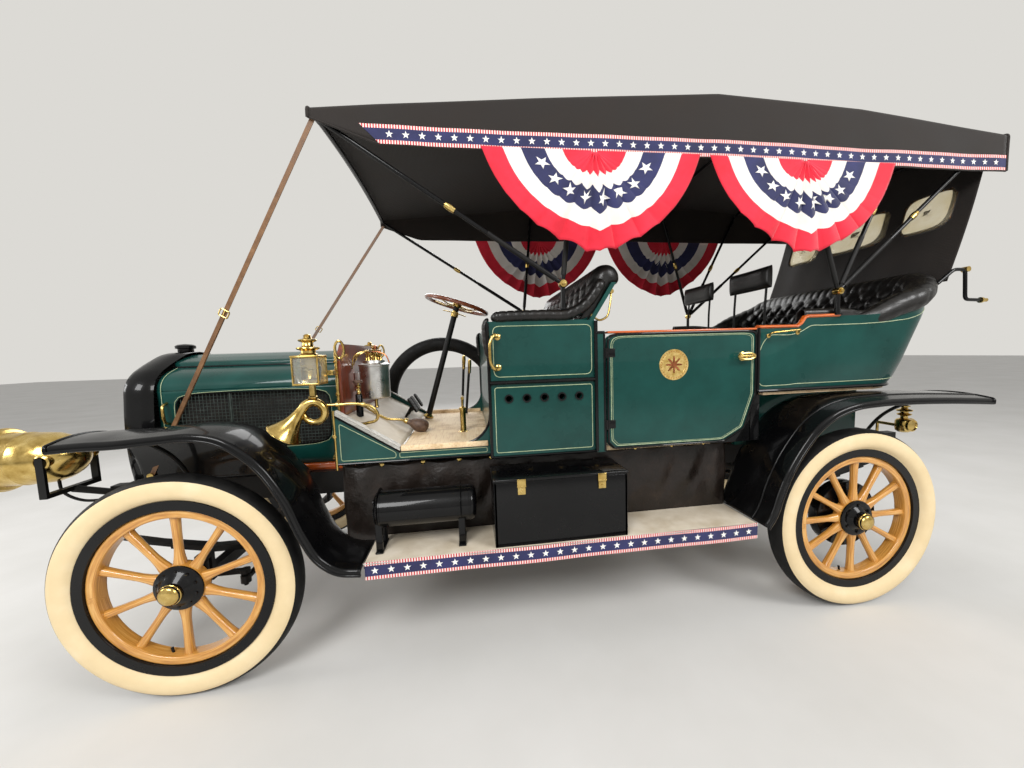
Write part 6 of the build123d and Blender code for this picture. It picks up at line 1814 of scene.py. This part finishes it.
def makeIrons():
    black, sleeves, joints = [], [], []
    for end in ("front", "rear"):
        form = ironForm[end]
        pivot = np.array(form["pivot"], float)
        for station in form["stations"]:
            path = bowPath(station, tuple(pivot))
            black.append(pipe(path, ironForm["radius"], 12, up=(1, 0, 0.01)))
            # a slide in chassis black over the lower third and a brass knuckle half way
            head = np.array(path[1], float)
            way = unit(head - pivot)
            reach = np.linalg.norm(head - pivot)
            sleeves += bothSides([pipe([pivot + way * 40, pivot + way * reach * 0.34], 12, 12)])
            joints += bothSides([pipe([pivot + way * (reach * 0.5 - 24), pivot + way * (reach * 0.5 - 6),
                                       pivot + way * (reach * 0.5 + 6), pivot + way * (reach * 0.5 + 24)],
                                      [12.5, 15, 15, 12.5], 12)])
        black += bothSides([pipe([(pivot[0], pivot[1], form["foot"]), (pivot[0], pivot[1], pivot[2] + 6)], 11,
                                 12, up=(1, 0, 0)),
                            turned([(0, 0), (24, 0), (24, 5), (13, 9), (13, 30), (0, 30)],
                                   (pivot[0], pivot[1], form["foot"]), axis=(0, 0, 1), steps=24)])
        joints += bothSides([turned([(0, -18), (16, -18), (19, -10), (19, 10), (16, 18), (0, 18)], pivot,
                                    steps=24), turned([(0, 16), (9, 16), (9, 26), (0, 28)], pivot, steps=6)])
    # cranked rests for the folded top, behind the body's corners
    crank = roundedPath([(-2040, 646, 1640), (-2130, 652, 1712), (-2200, 652, 1712), (-2212, 652, 1556),
                         (-2322, 652, 1552)], 22)
    black += bothSides([pipe(crank, 9, 10, up=(0, 1, 0))])
    joints += bothSides([turned([(0, 0), (15, 0), (15, 12), (10, 18), (10, 40), (0, 44)], (-2308, 652, 1552),
                                axis=(-1, 0, 0), steps=20),
                         turned([(0, -14), (14, -14), (14, 14), (0, 14)], (-2204, 652, 1712), steps=18)])
    makePiece("topIrons", black, "blackEnamel", stands=["top_irons"], slot="black_iron")
    makePiece("ironSleeves", sleeves, "chassisBlack")
    makePiece("ironJoints", joints, "buffedBrass")


strapForm = {"start": (976, 664.2, 2296), "end": (1871, 413, 835), "width": 19, "gauge": 3}


def strapStrip(start, end, width, gauge, bulge=0.0, steps=60):
    # a flat strip between two points, its broad side held across the line of pull and bowed a little
    start, end = np.array(start, float), np.array(end, float)
    way = unit(end - start)
    broad = unit(np.cross(way, (0, 1, 0)))
    deep = np.cross(broad, way)
    t = np.linspace(0, 1, steps)[:, None]
    line = start + (end - start) * t + deep * bulge * np.sin(pi * t)
    corners = [(1, 1), (-1, 1), (-1, -1), (1, -1)]
    ring = [line + broad * a * width / 2 + deep * b * gauge / 2 for a, b in corners]
    points = np.stack(ring, axis=1)
    return patch(np.concatenate([points[:1].mean(axis=1, keepdims=True).repeat(4, 1), points,
                                 points[-1:].mean(axis=1, keepdims=True).repeat(4, 1)]), across=True)


def makeStraps():
    start, end = np.array(strapForm["start"], float), np.array(strapForm["end"], float)
    way = unit(end - start)
    straps = [strapStrip(start, end, strapForm["width"], strapForm["gauge"])]
    # the doubled run back from the buckle
    straps.append(strapStrip(start + way * 900 + (0, 4, 0), start + way * 1500 + (0, 4, 0),
                             strapForm["width"] - 2, 3))
    makePiece("topStraps", bothSides(straps), "harnessLeather", stands=["top_straps"])
    brass = []
    broad = unit(np.cross(way, (0, 1, 0)))
    for reach in (880, 1520):
        spot = start + way * reach + (0, 5, 0)
        frameRing = [spot + broad * 19 * a + way * 15 * b for a, b in ((1, 1), (-1, 1), (-1, -1), (1, -1))]
        brass.append(pipe(roundedPath(frameRing, 6, closed=True), 3, 8, up=(0, 1, 0), closed=True))
        brass.append(pipe([spot - way * 15, spot + way * 17], 2.4, 8, up=(0, 1, 0)))
    brass.append(turned([(0, -16), (9, -16), (9, 4), (14, 6), (14, 10), (0, 12)], end, steps=20))
    makePiece("strapBuckles", bothSides(brass), "buffedBrass")


def makeRails():
    # robe rail behind the front seat and a short grab rail under the tub's capping
    rail = curveThrough([(-178, 612, 1508), (-206, 622, 1488), (-240, 622, 1500), (-262, 616, 1560),
                         (-272, 606, 1622)], 30)
    brass = [pipe(rail, 5, 10, up=(0, 1, 0))]
    brass += [turned([(0, -8), (11, -8), (11, 8), (0, 8)], spot, steps=16) for spot in (rail[0], rail[-1])]
    grab = roundedPath([(-1040, 678, 1392), (-1040, 700, 1406), (-1196, 700, 1418), (-1196, 680, 1404)], 10)
    brass.append(pipe(grab, 5, 10))
    brass += [turned([(0, -3), (11, -3), (11, 2), (7, 5), (0, 6)], spot, steps=16)
              for spot in (grab[0], grab[-1])]
    makePiece("brassRails", bothSides(brass), "buffedBrass")


def makeFloors():
    # cream covering on the sloping toe board with a joint strip across,
    # over one pale floor board with a worn patch
    low, high = np.array((735, 915.6)), np.array((1003, 1069.6))
    t = np.linspace(0, 1, 12)[:, None]
    y = np.linspace(-545, 545, 20)[None, :]
    slope = low + (high - low) * t
    cover = grid(slope[:, :1], y, slope[:, 1:] + 1.4)
    makePiece("toeCovering", [patch(cover)], "creamLinoleum", thick=2.4)
    # ribbed metal steps down over the sill's sloping edge, a moulding along its level part
    ribs = [block((731, -548, 915), (741, 548, 920), 2, along=1)]
    for edge, sink in ((548, 0), (555.5, 0), (563, 0), (570.5, 0), (577.5, 2), (580, 9), (580, 16)):
        ribs += bothSides([pipe([(733, edge, low[1] + 21 - sink), (1004, edge, high[1] + 44 - sink)], 3.4,
                                6)])
    makePiece("floorEdging", ribs, "rolledAluminium")
    boards = [block((322, -548, 915.2), (731, 548, 919), 1.5, along=1)]
    boards += bothSides([block((330, 547, 916), (729, 586, 941), 4)])
    makePiece("floorPlanks", boards, "scrubbedMaple")


def makeSills():
    # black bead under the moulding, lining inside the panels, brass edge at the front end
    curve = [(316.5 + 130 * (1 - cos(pi / 2 * k / 8)), 933 + 130 * (1 - sin(pi / 2 * k / 8)))
             for k in range(9)]
    black = [pipe([(729, 578, 922), (446, 578, 922)], 5, 8, up=(0, 1, 0)),
             pipe([(1004, 579, 1088), (731, 579, 911)], 4, 8, up=(0, 1, 0)),
             pipe([(1004, 576, 872), (322, 576, 872)], 6, 8)]
    black.append(pipe(np.array([(x, 572, z) for x, z in curve]), 6, 8, up=(0, 1, 0)))
    makePiece("sillBeads", bothSides(black), "blackEnamel")
    lines = [liningLoop([(990, 886), (990, 1056), (752, 910), (752, 886)], 575.8, 12, 1.5),
             liningLoop([(736, 886), (736, 908), (336, 908), (336, 886)], 575.8, 7, 1.5)]
    makePiece("sillLining", bothSides(lines), "liningPaint")
    edge = [pipe([(1011, 574, 846), (1011, 574, 1116)], 6, 8, up=(1, 0, 0)),
            turned([(0, 0), (9, 0), (9, 5), (0, 8)], (1011, 578, 1000), steps=14)]
    makePiece("sillEndPosts", bothSides(edge), "buffedBrass")
    posts = [pipe([(-181, 646, 872), (-181, 646, 1484)], 9, 10, up=(1, 0, 0)),
             pipe([(-219, 650, 872), (-219, 650, 1424)], 6, 8, up=(1, 0, 0)),
             block((-222, 612, 1424), (-178, 658, 1436), 4)]
    makePiece("pillarBeads", bothSides(posts), "blackEnamel")


makeHeadlamps()
makeSideLamps()
makeTailLamp()
makeHorn()
makeDashFittings()
makeSteering()
makeIrons()
makeStraps()
makeRails()
makeFloors()
makeSills()
print("fittings made")
